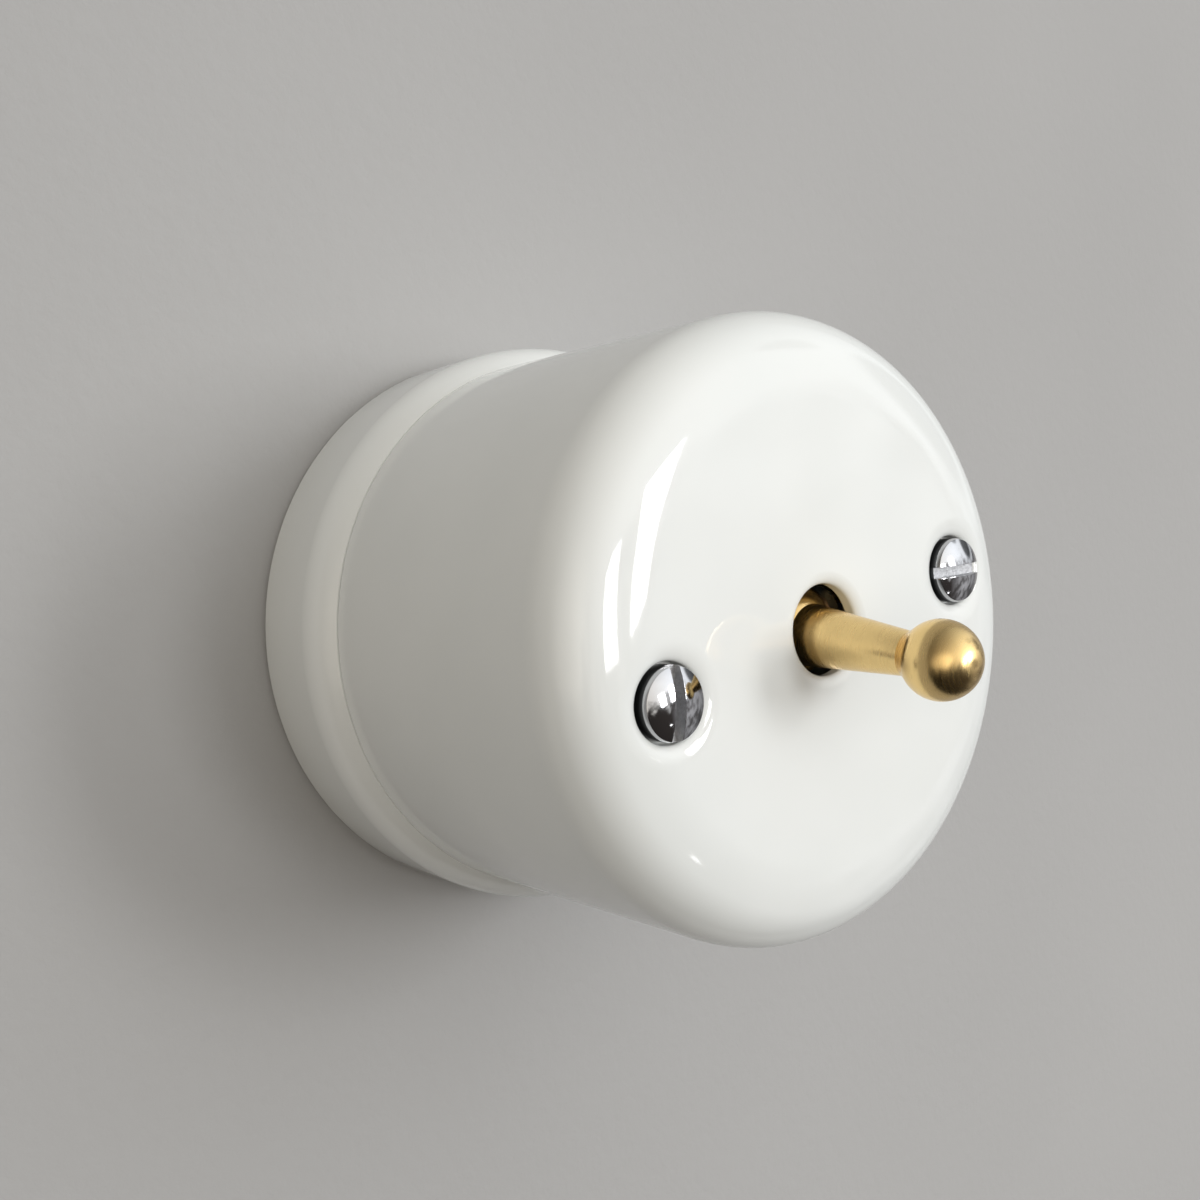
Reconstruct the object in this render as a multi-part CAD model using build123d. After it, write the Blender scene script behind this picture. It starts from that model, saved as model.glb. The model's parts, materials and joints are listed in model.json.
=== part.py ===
from build123d import *
from math import asin, atan2, cos, degrees, hypot, radians, sin, sqrt, tan
import os

# A surface-mounted toggle switch of glazed porcelain with a turned brass lever, in millimetres.
# The functions work in the bench frame, where the switch lies on its back: z is the distance
# from the wall, y points up the wall and x runs through the two cover screws.
# The last step stands it on its wall: the front faces -Y, +Z is up, and the origin is the centre
# of the back face.

# Porcelain base
base_radius = 35.0
base_side_height = 10.7
shoulder_radius = 5.3
foot_edge_radius = 0.8
seam_height = 15.0
spigot_radius = 28.3
spigot_height = 18.0
floor_height = 6.0
cavity_radius = 25.0
cavity_fillet = 1.5

# Holes through the base floor, all on one circle
hole_circle_radius = 19.0
wall_screw_angle = 135.0
wall_hole_radius = 2.25
wall_head_radius = 3.8
wall_head_depth = 2.0
wire_entry_angle = 45.0
wire_entry_radius = 3.6
wire_entry_edge = 0.3

# Porcelain cover
switch_height = 57.0
cover_draft = 0.65
rim_radius = 6.0
rim_turn = 76.0
crown_radius = 20.0
cover_wall = 4.2
cover_foot_edge = 0.5
face_thickness = 5.0
inner_rim_radius = 4.5
lever_hole_radius = 4.6
lever_hole_edge = 1.0
pocket_radius = 9.5
pocket_face_thickness = 3.6
cover_boss_radius = 5.2
cover_boss_foot = 47.0

# Cover screws, M4 with raised cheese heads, and the recesses that they sit in
cover_screw_spacing = 43.0
m4_head_radius = 3.5
m4_shank_radius = 1.95
m4_thread_radius = 2.0
m4_clearance_radius = 2.25
m4_slot_width = 1.2
m4_slot_depth = 1.5
m4_chamfer = 0.25
head_proud = 0.45
head_dome = 0.75
left_slot_angle = 76.0
right_slot_angle = -10.0
recess_radius = 3.8
recess_edge = 1.5
recess_depth = 2.0
cover_screw_length = 20.0

# Brass pillars between the base and the cover, and the screws behind them
base_boss_radius = 5.0
pillar_half_flats = 3.25
pillar_top_bore = 16.0
pillar_foot_bore = 9.0
pillar_screw_length = 22.0
back_recess_depth = 2.6
back_head_height = 2.2

# Small screws inside, M3 with flat cheese heads
m3_head_radius = 2.6
m3_head_height = 1.9
m3_shank_radius = 1.45
m3_thread_radius = 1.5
m3_clearance_radius = 1.65
m3_slot_width = 0.8
m3_slot_depth = 0.9
m3_chamfer = 0.2
m3_back_recess_radius = 3.0

# Lever, turned from one brass bar, with its pivot as the zero of every reach
pivot_height = 50.1
rest_tilt = 7.5
knob_radius = 3.8
knob_reach = 19.9
neck_reach = 16.4
neck_radius = 2.12
neck_step = 0.1
flare_radius = 2.72
shaft_root_radius = 3.25
pivot_ball_radius = 5.0
ball_flat = 4.3
tail_radius = 2.25
tail_reach = 9.6
spigot_pin_radius = 1.6
spigot_pin_reach = 12.2
pin_radius = 1.0
pin_clearance = 0.05

# Insulating cap pressed on the lever's tail
cap_collar_radius = 2.9
cap_flange_radius = 3.6
cap_seat_reach = 13.2
peg_radius = 1.3
peg_tip_radius = 1.0
peg_length = 2.8

# Bridge, a bent steel strap that carries the pivot pin
strap_thickness = 1.2
strap_width = 12.0
strap_bend = 1.2
bridge_top = 44.4
bridge_leg_y = 10.7
bridge_foot_y = 16.6
tail_slot_half_x = 3.4
tail_slot_half_y = 3.25
ear_inner_x = 5.3
ear_radius = 2.8
pin_head_radius = 1.7
pin_head_height = 0.7
washer_radius = 2.4
washer_thickness = 0.8

# Insulating mechanism body
body_half_x = 9.5
body_half_y = 17.0
body_top = 28.0
body_corner = 2.0
body_edge = 0.5
chamber_half_x = 5.5
chamber_half_y = 11.0
well_half_y = 5.4
well_floor = 12.0
bridge_screw_y = 14.0
bridge_screw_length = 8.0
body_screw_x = 6.4
body_screw_y = -13.6
body_screw_length = 12.0

# Rocker, the moving contact, with its pivot as the zero of every height
fulcrum_height = 20.0
rocker_tilt = 10.0
rocker_low = 1.5
rocker_thickness = 1.2
rocker_half_width = 2.9
rocker_half_length = 9.8
lug_radius = 1.9
lug_thickness = 0.8
rocker_pin_radius = 0.8
rocker_pin_half_length = 4.9
seat_disc_radius = 3.5
seat_disc_height = 0.6
contact_y = 8.0
contact_radius = 1.5
contact_cap = 0.6
contact_shank_radius = 0.8
contact_gap = 0.08

# Terminal strips, their tunnel clamps and clamp screws
strip_width = 4.0
strip_inner_end = 2.5
common_ear_x = 3.3
common_ear_radius = 1.8
common_plate_y = 3.0
common_strip_y = 3.0
clamp_gap = 0.4
clamp_length = 5.8
clamp_width = 6.4
clamp_foot = 1.5
clamp_height = 9.0
tunnel_height = 4.4
tunnel_play = 0.1
clamp_screw_length = 6.0
clamp_screw_rise = 0.8

# Over-centre spring
spring_wire_radius = 0.35
spring_mean_radius = 2.75
spring_turns = 5
spring_end_play = 0.05

quarter = 90.0
beyond = 1.0


def turned(draw):
    """Solid turned about the z axis from an outline drawn as (radius, height)."""
    with BuildPart() as part:
        with BuildSketch(Plane.XZ):
            with BuildLine():
                draw()
            make_face()
        revolve(axis=Axis.Z)
    return part.part


def post(radius, low, high, x=0.0, y=0.0):
    """Upright cylinder between two heights."""
    upright = (Align.CENTER, Align.CENTER, Align.MIN)
    return Pos(x, y, low) * Cylinder(radius, high - low, align=upright)


def block(x, y, z):
    """Box between its lowest and highest value on each axis."""
    low, high = zip(sorted(x), sorted(y), sorted(z))
    return Pos(*low) * Box(*(h - l for l, h in zip(low, high)), align=(Align.MIN, Align.MIN, Align.MIN))


def cross_cylinder(radius, x, height):
    """Cylinder along x between two places, its axis at one height."""
    return Pos(sum(x) / 2, 0, height) * Rot(0, quarter, 0) * Cylinder(radius, x[1] - x[0])


def soft_hole(radius, edge, depth):
    """Cutter for a hole with a rounded mouth: the mouth is at z = 0, the end at -depth."""

    def outline():
        Polyline((radius, -edge), (radius, -depth), (0, -depth), (0, edge), (radius + edge, edge),
                 (radius + edge, 0))
        CenterArc((radius + edge, -edge), edge, quarter, quarter)

    return turned(outline)


def polar(radius, angle):
    """Point on a circle round the axis of the switch."""
    return radius * cos(radians(angle)), radius * sin(radians(angle))


def opposite(x, y):
    """A place and the one facing it across the axis of the switch."""
    return (x, y), (-x, -y)


def screw_lines():
    """Place along x and slot angle of the left and the right cover screw."""
    half = cover_screw_spacing / 2
    return (-half, left_slot_angle), (half, right_slot_angle)


def shoulder_seat_radius():
    """Radius at which the shoulder of the base meets the foot of the cover."""
    rise = seam_height - base_side_height
    return base_radius - shoulder_radius + sqrt(shoulder_radius ** 2 - rise ** 2)


def base():
    """Porcelain base: a dish with a rounded shoulder, a spigot for the cover and two bosses."""
    seat_radius = shoulder_seat_radius()
    seat_angle = degrees(asin((seam_height - base_side_height) / shoulder_radius))

    def outline():
        Polyline((seat_radius, seam_height), (spigot_radius, seam_height), (spigot_radius, spigot_height),
                 (0, spigot_height), (0, 0), (base_radius - foot_edge_radius, 0))
        CenterArc((base_radius - foot_edge_radius, foot_edge_radius), foot_edge_radius, -quarter, quarter)
        Line((base_radius, foot_edge_radius), (base_radius, base_side_height))
        CenterArc((base_radius - shoulder_radius, base_side_height), shoulder_radius, 0, seat_angle)

    def cavity_outline():
        flat = cavity_radius - cavity_fillet
        Polyline((flat, floor_height), (0, floor_height), (0, switch_height), (cavity_radius, switch_height),
                 (cavity_radius, floor_height + cavity_fillet))
        CenterArc((flat, floor_height + cavity_fillet), cavity_fillet, -quarter, quarter)

    cavity = turned(cavity_outline)
    for x, _ in screw_lines():
        cavity -= post(base_boss_radius, 0, switch_height, x)
    body = turned(outline) - cavity
    for x, _ in screw_lines():
        body -= post(m4_clearance_radius, -beyond, switch_height, x)
        body -= post(m4_head_radius + m4_chamfer, -beyond, back_recess_depth, x)
    for x, y in opposite(*polar(hole_circle_radius, wall_screw_angle)):
        body -= post(wall_hole_radius, -beyond, floor_height + beyond, x, y)
        body -= post(wall_head_radius, floor_height - wall_head_depth, floor_height + beyond, x, y)
    for x, y in opposite(*polar(hole_circle_radius, wire_entry_angle)):
        body -= Pos(x, y, floor_height) * soft_hole(wire_entry_radius, wire_entry_edge, floor_height + beyond)
    for x, y in opposite(body_screw_x, body_screw_y):
        body -= post(m3_clearance_radius, -beyond, floor_height + beyond, x, y)
        body -= post(m3_back_recess_radius, -beyond, back_recess_depth, x, y)
    return body


def cover():
    """Porcelain cover: a deep cup with a soft rim, screw recesses, inner bosses and a pocket."""
    turn = radians(rim_turn)
    draft = radians(cover_draft)
    foot_radius = shoulder_seat_radius()
    rim_rise = rim_radius * (sin(turn) - sin(draft)) + crown_radius * (1 - sin(turn))
    rim_height = switch_height - rim_rise
    inner_face = switch_height - face_thickness
    inner_foot = foot_radius - cover_wall
    bend_height = inner_face - inner_rim_radius * (1 - sin(draft))

    def drafted(radius, height):
        return radius - (height - seam_height) * tan(draft), height

    def outline():
        side = Line(drafted(foot_radius, seam_height), drafted(foot_radius, rim_height))
        rim = JernArc(side @ 1, side % 1, rim_radius, rim_turn - cover_draft)
        crown = JernArc(rim @ 1, rim % 1, crown_radius, quarter - rim_turn)
        Polyline(crown @ 1, (0, switch_height), (0, inner_face))
        inner_side = Line(drafted(inner_foot, seam_height), drafted(inner_foot, bend_height))
        bend = JernArc(inner_side @ 1, inner_side % 1, inner_rim_radius, quarter - cover_draft)
        Line((0, inner_face), bend @ 1)
        Line(inner_side @ 0, side @ 0)

    body = turned(outline)
    body = fillet(body.edges().filter_by(GeomType.CIRCLE).group_by(Axis.Z)[0], cover_foot_edge)
    for x, _ in screw_lines():
        body += post(cover_boss_radius, cover_boss_foot, inner_face + beyond, x)
    for x, _ in screw_lines():
        body -= Pos(x, 0, switch_height) * soft_hole(recess_radius, recess_edge, recess_depth)
        body -= post(m4_clearance_radius, 0, switch_height, x)
    body -= Pos(0, 0, switch_height) * soft_hole(lever_hole_radius, lever_hole_edge, switch_height)
    return body - post(pocket_radius, 0, switch_height - pocket_face_thickness)


def slotted_screw(head_radius, side, dome, slot_width, slot_depth, shank_radius, length, edge):
    """Slotted screw along z: the underside of its head is at z = 0 and its slot runs along x."""
    top = side + dome
    rim = head_radius - edge

    def outline():
        Polyline((rim, side), (head_radius, side - edge), (head_radius, 0), (shank_radius, 0),
                 (shank_radius, shank_radius - length), (shank_radius / 2, -length), (0, -length), (0, top))
        if dome:
            SagittaArc((0, top), (rim, side), -dome / 4)
        else:
            Line((0, top), (rim, side))

    reach = head_radius + beyond
    slot = block((-reach, reach), (-slot_width / 2, slot_width / 2), (top - slot_depth, top + beyond))
    return turned(outline) - slot


def m4_screw(side, dome, length):
    """M4 cheese-head screw, with a raised head where dome is more than nothing."""
    return slotted_screw(m4_head_radius, side, dome, m4_slot_width, m4_slot_depth, m4_shank_radius,
                         length, m4_chamfer)


def m3_screw(length):
    """M3 cheese-head screw for the parts inside."""
    return slotted_screw(m3_head_radius, m3_head_height, 0, m3_slot_width, m3_slot_depth,
                         m3_shank_radius, length, m3_chamfer)


def cover_screws():
    """The two screws that hold the cover, each with its slot where the driver left it."""
    screw = m4_screw(recess_depth + head_proud, head_dome, cover_screw_length)
    seat = switch_height - recess_depth
    return [Pos(x, 0, seat) * Rot(0, 0, angle) * screw for x, angle in screw_lines()]


def cover_pillar(x):
    """Hexagonal brass pillar, tapped at both ends, between a base boss and a cover boss."""
    hexagon = RegularPolygon(pillar_half_flats, 6, major_radius=False)
    pillar = Pos(x, 0, spigot_height) * extrude(hexagon, cover_boss_foot - spigot_height)
    pillar -= post(m4_thread_radius, cover_boss_foot - pillar_top_bore, cover_boss_foot + beyond, x)
    return pillar - post(m4_thread_radius, spigot_height - beyond, spigot_height + pillar_foot_bore, x)


def pillar_screws():
    """Screws from the back of the base into the feet of the pillars."""
    screw = m4_screw(back_head_height, 0, pillar_screw_length)
    return [Pos(x, 0, back_recess_depth) * Rot(180, 0, 0) * screw for x, _ in screw_lines()]


def fixed_contact_place():
    """Place along y of a fixed contact and the height of the top of its strip."""
    dome = (contact_radius ** 2 + contact_cap ** 2) / (2 * contact_cap)
    tilt = radians(rocker_tilt)
    centre = rocker_low - contact_cap + dome
    y = contact_y * cos(tilt) + centre * sin(tilt)
    moving_centre = centre * cos(tilt) - contact_y * sin(tilt)
    return y, fulcrum_height + moving_centre - dome - contact_gap - contact_cap


def mechanism_body():
    """Moulded insulating body: a block with a stepped chamber and slots for the strips."""
    contact_place, strip_top = fixed_contact_place()
    step = strip_top - strap_thickness
    half = strip_width / 2
    body = block((-body_half_x, body_half_x), (-body_half_y, body_half_y), (floor_height, body_top))
    body = fillet(body.edges().filter_by(Axis.Z), body_corner)
    body = chamfer(body.faces().sort_by(Axis.Z)[-1].edges(), body_edge)
    width = (-chamber_half_x, chamber_half_x)
    body -= block(width, (-chamber_half_y, chamber_half_y), (step, body_top + beyond))
    body -= block(width, (-well_half_y, well_half_y), (well_floor, body_top + beyond))
    for side in (1, -1):
        y = side * contact_place
        body -= block((0, side * (body_half_x + beyond)), (y - half, y + half), (step, strip_top))
        body -= post(m3_thread_radius, body_top - bridge_screw_length, body_top + beyond, 0,
                     side * bridge_screw_y)
    body -= block((-body_half_x - beyond, 0), (common_strip_y - half, common_strip_y + half),
                  (well_floor, well_floor + strap_thickness))
    for x, y in opposite(body_screw_x, body_screw_y):
        body -= post(m3_thread_radius, floor_height - beyond, back_recess_depth + body_screw_length + beyond, x, y)
    return body


def body_screws():
    """Screws from the back of the base into the mechanism body."""
    turned_over = Rot(180, 0, 0) * m3_screw(body_screw_length)
    return [Pos(x, y, back_recess_depth) * turned_over for x, y in opposite(body_screw_x, body_screw_y)]


def bridge():
    """Steel strap on two feet, with a slot for the lever's tail and two ears for the pivot pin."""
    half_sheet = strap_thickness / 2
    foot = body_top + half_sheet
    top = bridge_top - half_sheet
    leg = bridge_leg_y - half_sheet
    ear = ear_inner_x + half_sheet
    ear_top = pivot_height + ear_radius
    with BuildPart() as part:
        with BuildSketch(Plane.YZ):
            with BuildLine():
                FilletPolyline((-bridge_foot_y, foot), (-leg, foot), (-leg, top), (leg, top), (leg, foot),
                               (bridge_foot_y, foot), radius=strap_bend)
            trace(line_width=strap_thickness)
        extrude(amount=strap_width / 2, both=True)
        with BuildSketch(Plane.XZ):
            with BuildLine():
                FilletPolyline((-ear, ear_top), (-ear, top), (ear, top), (ear, ear_top), radius=strap_bend)
            trace(line_width=strap_thickness)
        extrude(amount=ear_radius, both=True)
    strap = part.part
    reach = ear + beyond
    waste = block((-reach, reach), (-ear_radius - beyond, ear_radius + beyond), (pivot_height, ear_top + beyond))
    strap -= waste - cross_cylinder(ear_radius, (-reach, reach), pivot_height)
    strap -= cross_cylinder(pin_radius, (-reach, reach), pivot_height)
    strap -= block((-tail_slot_half_x, tail_slot_half_x), (-tail_slot_half_y, tail_slot_half_y),
                   (top - beyond, bridge_top + beyond))
    for side in (1, -1):
        strap -= post(m3_clearance_radius, body_top - beyond, bridge_top, 0, side * bridge_screw_y)
    return strap


def bridge_screws():
    """Screws through the feet of the bridge into the mechanism body."""
    seat = body_top + strap_thickness
    return [Pos(0, side * bridge_screw_y, seat) * m3_screw(bridge_screw_length) for side in (1, -1)]


def pivot_pin():
    """Headed steel pin through both ears and the lever's ball."""
    ear_outer = ear_inner_x + strap_thickness
    pin = cross_cylinder(pin_radius, (-ear_outer, ear_outer + pin_head_height), pivot_height)
    pin = chamfer(pin.edges().sort_by(Axis.X)[-1], pin_radius / 4)
    return pin + cross_cylinder(pin_head_radius, (-ear_outer - pin_head_height, -ear_outer), pivot_height)


def pivot_washers():
    """Bronze washers that keep the ball centred between the ears."""
    inner = ear_inner_x - washer_thickness
    sides = ((inner, ear_inner_x), (-ear_inner_x, -inner))
    bore = cross_cylinder(pin_radius + pin_clearance, (-ear_inner_x, ear_inner_x), pivot_height)
    return [cross_cylinder(washer_radius, x, pivot_height) - bore for x in sides]


def lever():
    """Brass lever: knob, flared neck, tapered shaft, pivot ball with two flats, and tail."""
    flare_reach = knob_reach - sqrt(knob_radius ** 2 - flare_radius ** 2)
    ball_root = sqrt(pivot_ball_radius ** 2 - shaft_root_radius ** 2)
    ball_tail = sqrt(pivot_ball_radius ** 2 - tail_radius ** 2)

    def outline():
        Line((0, -spigot_pin_reach), (0, knob_reach + knob_radius))
        RadiusArc((0, knob_reach + knob_radius), (knob_radius, knob_reach), knob_radius)
        RadiusArc((knob_radius, knob_reach), (flare_radius, flare_reach), knob_radius)
        Polyline((flare_radius, flare_reach), (neck_radius + neck_step, neck_reach), (neck_radius, neck_reach),
                 (shaft_root_radius, ball_root))
        RadiusArc((shaft_root_radius, ball_root), (pivot_ball_radius, 0), pivot_ball_radius)
        RadiusArc((pivot_ball_radius, 0), (tail_radius, -ball_tail), pivot_ball_radius)
        Polyline((tail_radius, -ball_tail), (tail_radius, -tail_reach), (spigot_pin_radius, -tail_reach),
                 (spigot_pin_radius, -spigot_pin_reach), (0, -spigot_pin_reach))

    body = turned(outline)
    ball = pivot_ball_radius + beyond
    for side in (1, -1):
        body -= block((side * ball_flat, side * ball), (-ball, ball), (-ball, ball))
    return body - cross_cylinder(pin_radius + pin_clearance, (-ball, ball), 0)


def peg_outline(seat, step):
    """Side of a spring peg that stands on a seat, in the direction of step."""
    tip = seat + step * peg_length
    Polyline((peg_radius, seat), (peg_tip_radius, tip), (0, tip))


def insulating_cap():
    """Moulded cap on the lever's tail, with the upper seat and peg of the spring."""

    def outline():
        Polyline((0, -cap_seat_reach - peg_length), (0, -spigot_pin_reach), (spigot_pin_radius, -spigot_pin_reach),
                 (spigot_pin_radius, -tail_reach), (cap_collar_radius, -tail_reach),
                 (cap_collar_radius, -spigot_pin_reach), (cap_flange_radius, -spigot_pin_reach),
                 (cap_flange_radius, -cap_seat_reach), (peg_radius, -cap_seat_reach))
        peg_outline(-cap_seat_reach, -1)

    return turned(outline)


def rocker_top():
    """Height of the top of the rocker strip over its pivot."""
    return rocker_low + rocker_thickness


def rocker():
    """Brass rocker: a strip with rounded ends and two side lugs that hang on the rocker pin."""
    plan = SlotOverall(2 * rocker_half_length, 2 * rocker_half_width, rotation=quarter)
    strip = Pos(0, 0, rocker_low) * extrude(plan, rocker_thickness)
    lug = cross_cylinder(lug_radius, (-rocker_half_width, rocker_half_width), 0)
    lug += block((-rocker_half_width, rocker_half_width), (-lug_radius, lug_radius), (0, rocker_top()))
    inner = rocker_half_width - lug_thickness
    lug -= block((-inner, inner), (-lug_radius, lug_radius), (-lug_radius, rocker_low))
    body = strip + lug - cross_cylinder(rocker_pin_radius + pin_clearance, (-contact_y, contact_y), 0)
    for side in (1, -1):
        body -= post(contact_shank_radius, 0, rocker_top() + beyond, 0, side * contact_y)
    return body - post(peg_tip_radius, 0, rocker_top() + beyond)


def spring_seat():
    """Turned seat and peg riveted into the rocker, for the lower end of the spring."""
    low = rocker_top()
    high = low + seat_disc_height

    def outline():
        Polyline((0, high + peg_length), (0, rocker_low), (peg_tip_radius, rocker_low), (peg_tip_radius, low),
                 (seat_disc_radius, low), (seat_disc_radius, high), (peg_radius, high))
        peg_outline(high, 1)

    return turned(outline)


def contact_rivet(shank):
    """Contact rivet with a domed head: its strip is below z = 0 and the dome above."""

    def outline():
        Polyline((contact_radius, 0), (contact_shank_radius, 0), (contact_shank_radius, -shank), (0, -shank),
                 (0, contact_cap))
        SagittaArc((0, contact_cap), (contact_radius, 0), contact_sagitta())

    return turned(outline)


def contact_sagitta():
    """Rise of half of a contact's dome over its own chord."""
    dome = (contact_radius ** 2 + contact_cap ** 2) / (2 * contact_cap)
    half_chord = hypot(contact_radius, contact_cap) / 2
    return dome - sqrt(dome ** 2 - half_chord ** 2)


def rocker_contacts():
    """The two silver contacts under the ends of the rocker."""
    rivet = Rot(180, 0, 0) * contact_rivet(rocker_thickness)
    return [Pos(0, side * contact_y, rocker_low) * rivet for side in (1, -1)]


def fixed_contact(side):
    """Silver contact on the inner end of a fixed terminal strip."""
    y, strip_top = fixed_contact_place()
    return Pos(0, side * y, strip_top) * contact_rivet(strap_thickness)


def clamp_start():
    """Distance from the centre at which a clamp starts along x."""
    return body_half_x + clamp_gap


def fixed_terminal(side):
    """Brass strip from a fixed contact out to its clamp."""
    y, strip_top = fixed_contact_place()
    outer = clamp_start() + clamp_length
    plan = Pos((outer - strip_inner_end) / 2, 0) * RectangleRounded(outer + strip_inner_end, strip_width, 1.0)
    strip = Pos(0, 0, strip_top - strap_thickness) * extrude(plan, strap_thickness)
    strip -= post(contact_shank_radius, 0, fulcrum_height)
    return Pos(0, side * y, 0) * (strip if side > 0 else Rot(0, 0, 180) * strip)


def common_terminal():
    """Brass bracket with two ears for the rocker pin and a strip out to its clamp."""
    ear_outer = common_ear_x + strap_thickness
    plate_top = well_floor + strap_thickness
    half = strip_width / 2
    body = block((-ear_outer, ear_outer), (-common_plate_y, common_strip_y + half), (well_floor, plate_top))
    body += block((-clamp_start() - clamp_length, 0), (common_strip_y - half, common_strip_y + half),
                  (well_floor, plate_top))
    ears = block((-ear_outer, ear_outer), (-common_ear_radius, common_ear_radius), (well_floor, fulcrum_height))
    ears += cross_cylinder(common_ear_radius, (-ear_outer, ear_outer), fulcrum_height)
    ears -= block((-common_ear_x, common_ear_x), (-common_plate_y, common_plate_y), (plate_top, body_top))
    return body + ears - cross_cylinder(rocker_pin_radius, (-ear_outer - beyond, ear_outer + beyond), fulcrum_height)


def rocker_pin():
    """Pin that carries the rocker in the ears of the common terminal."""
    pin = cross_cylinder(rocker_pin_radius, (-rocker_pin_half_length, rocker_pin_half_length), fulcrum_height)
    return chamfer(pin.edges().filter_by(GeomType.CIRCLE), rocker_pin_radius / 4)


def terminals():
    """Side along x, place along y and strip height of the three terminals, by name."""
    y, strip_top = fixed_contact_place()
    fixed_low = strip_top - strap_thickness
    return {"upper": (1, y, fixed_low), "lower": (-1, -y, fixed_low), "common": (-1, common_strip_y, well_floor)}


def clamp(side, y, strip_low):
    """Brass tunnel clamp: the wire lies on the strip and the screw presses it down."""
    x = (side * clamp_start(), side * (clamp_start() + clamp_length))
    half = clamp_width / 2
    low = strip_low - clamp_foot
    body = block(x, (y - half, y + half), (low, low + clamp_height))
    body = chamfer(body.edges().filter_by(Axis.Z), body_edge)
    tunnel = strip_width / 2 + tunnel_play
    body -= block((0, 2 * x[1]), (y - tunnel, y + tunnel), (strip_low, strip_low + tunnel_height))
    return body - post(m3_thread_radius, strip_low + beyond, low + clamp_height + beyond, sum(x) / 2, y)


def clamp_screws():
    """The three screws of the tunnel clamps."""
    middle = clamp_start() + clamp_length / 2
    rise = clamp_height - clamp_foot + clamp_screw_rise
    screw = m3_screw(clamp_screw_length)
    return [Pos(side * middle, y, low + rise) * screw for side, y, low in terminals().values()]


def toggle_spring():
    """Compression spring between the cap on the lever's tail and the seat on the rocker."""
    lever_lean = radians(rest_tilt)
    rocker_lean = radians(rocker_tilt)
    seat_rise = rocker_top() + seat_disc_height
    top = (cap_seat_reach * sin(lever_lean), pivot_height - cap_seat_reach * cos(lever_lean))
    foot = (-seat_rise * sin(rocker_lean), fulcrum_height + seat_rise * cos(rocker_lean))
    lean = atan2(top[0] - foot[0], top[1] - foot[1])
    outer = spring_mean_radius + spring_wire_radius
    foot_gap = outer * tan(lean + rocker_lean) + spring_end_play + spring_wire_radius
    top_gap = outer * tan(lean + lever_lean) + spring_end_play + spring_wire_radius
    height = hypot(top[0] - foot[0], top[1] - foot[1]) - foot_gap - top_gap
    coil = Helix(height / spring_turns, height, spring_mean_radius)
    section = Plane(coil @ 0, z_dir=coil % 0) * Circle(spring_wire_radius)
    spring = sweep(section, path=coil)
    return Pos(0, *foot) * Rot(-degrees(lean), 0, 0) * Pos(0, 0, foot_gap) * spring


def pieces():
    """Every piece of the switch in the bench frame, by name."""
    at_lever = Pos(0, 0, pivot_height) * Rot(rest_tilt, 0, 0)
    at_rocker = Pos(0, 0, fulcrum_height) * Rot(rocker_tilt, 0, 0)
    made = {
        "base": base(),
        "cover": cover(),
        "cover_screws": cover_screws(),
        "pillar_screws": pillar_screws(),
        "mechanism_body": mechanism_body(),
        "body_screws": body_screws(),
        "bridge": bridge(),
        "bridge_screws": bridge_screws(),
        "pivot_pin": pivot_pin(),
        "pivot_washers": pivot_washers(),
        "lever": at_lever * lever(),
        "insulating_cap": at_lever * insulating_cap(),
        "toggle_spring": toggle_spring(),
        "rocker": at_rocker * rocker(),
        "spring_seat": at_rocker * spring_seat(),
        "rocker_contacts": [at_rocker * contact for contact in rocker_contacts()],
        "rocker_pin": rocker_pin(),
        "common_terminal": common_terminal(),
        "clamp_screws": clamp_screws(),
    }
    for name, (x, _) in zip(("left", "right"), screw_lines()):
        made[f"{name}_pillar"] = cover_pillar(x)
    for name, side in (("upper", 1), ("lower", -1)):
        made[f"{name}_terminal"] = fixed_terminal(side)
        made[f"{name}_contact"] = fixed_contact(side)
    for name, place in terminals().items():
        made[f"{name}_clamp"] = clamp(*place)
    return made


def main():
    """Stand the switch on its wall and write one file for each piece."""
    os.makedirs("parts", exist_ok=True)
    on_wall = Rot(quarter, 0, 0)
    for name, made in pieces().items():
        group = made if isinstance(made, list) else [made]
        solids = [on_wall * solid for piece in group for solid in piece.solids()]
        shape = solids[0] if len(solids) == 1 else Compound(solids)
        export_step(shape, f"parts/{name}.step")


if __name__ == "__main__":
    main()
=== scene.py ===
import json
from math import asin, atan2, ceil, cos, hypot, pi, radians, sin, sqrt, tan

import bmesh
import bpy
from mathutils import Matrix, Vector
from mathutils.geometry import delaunay_2d_cdt


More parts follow.
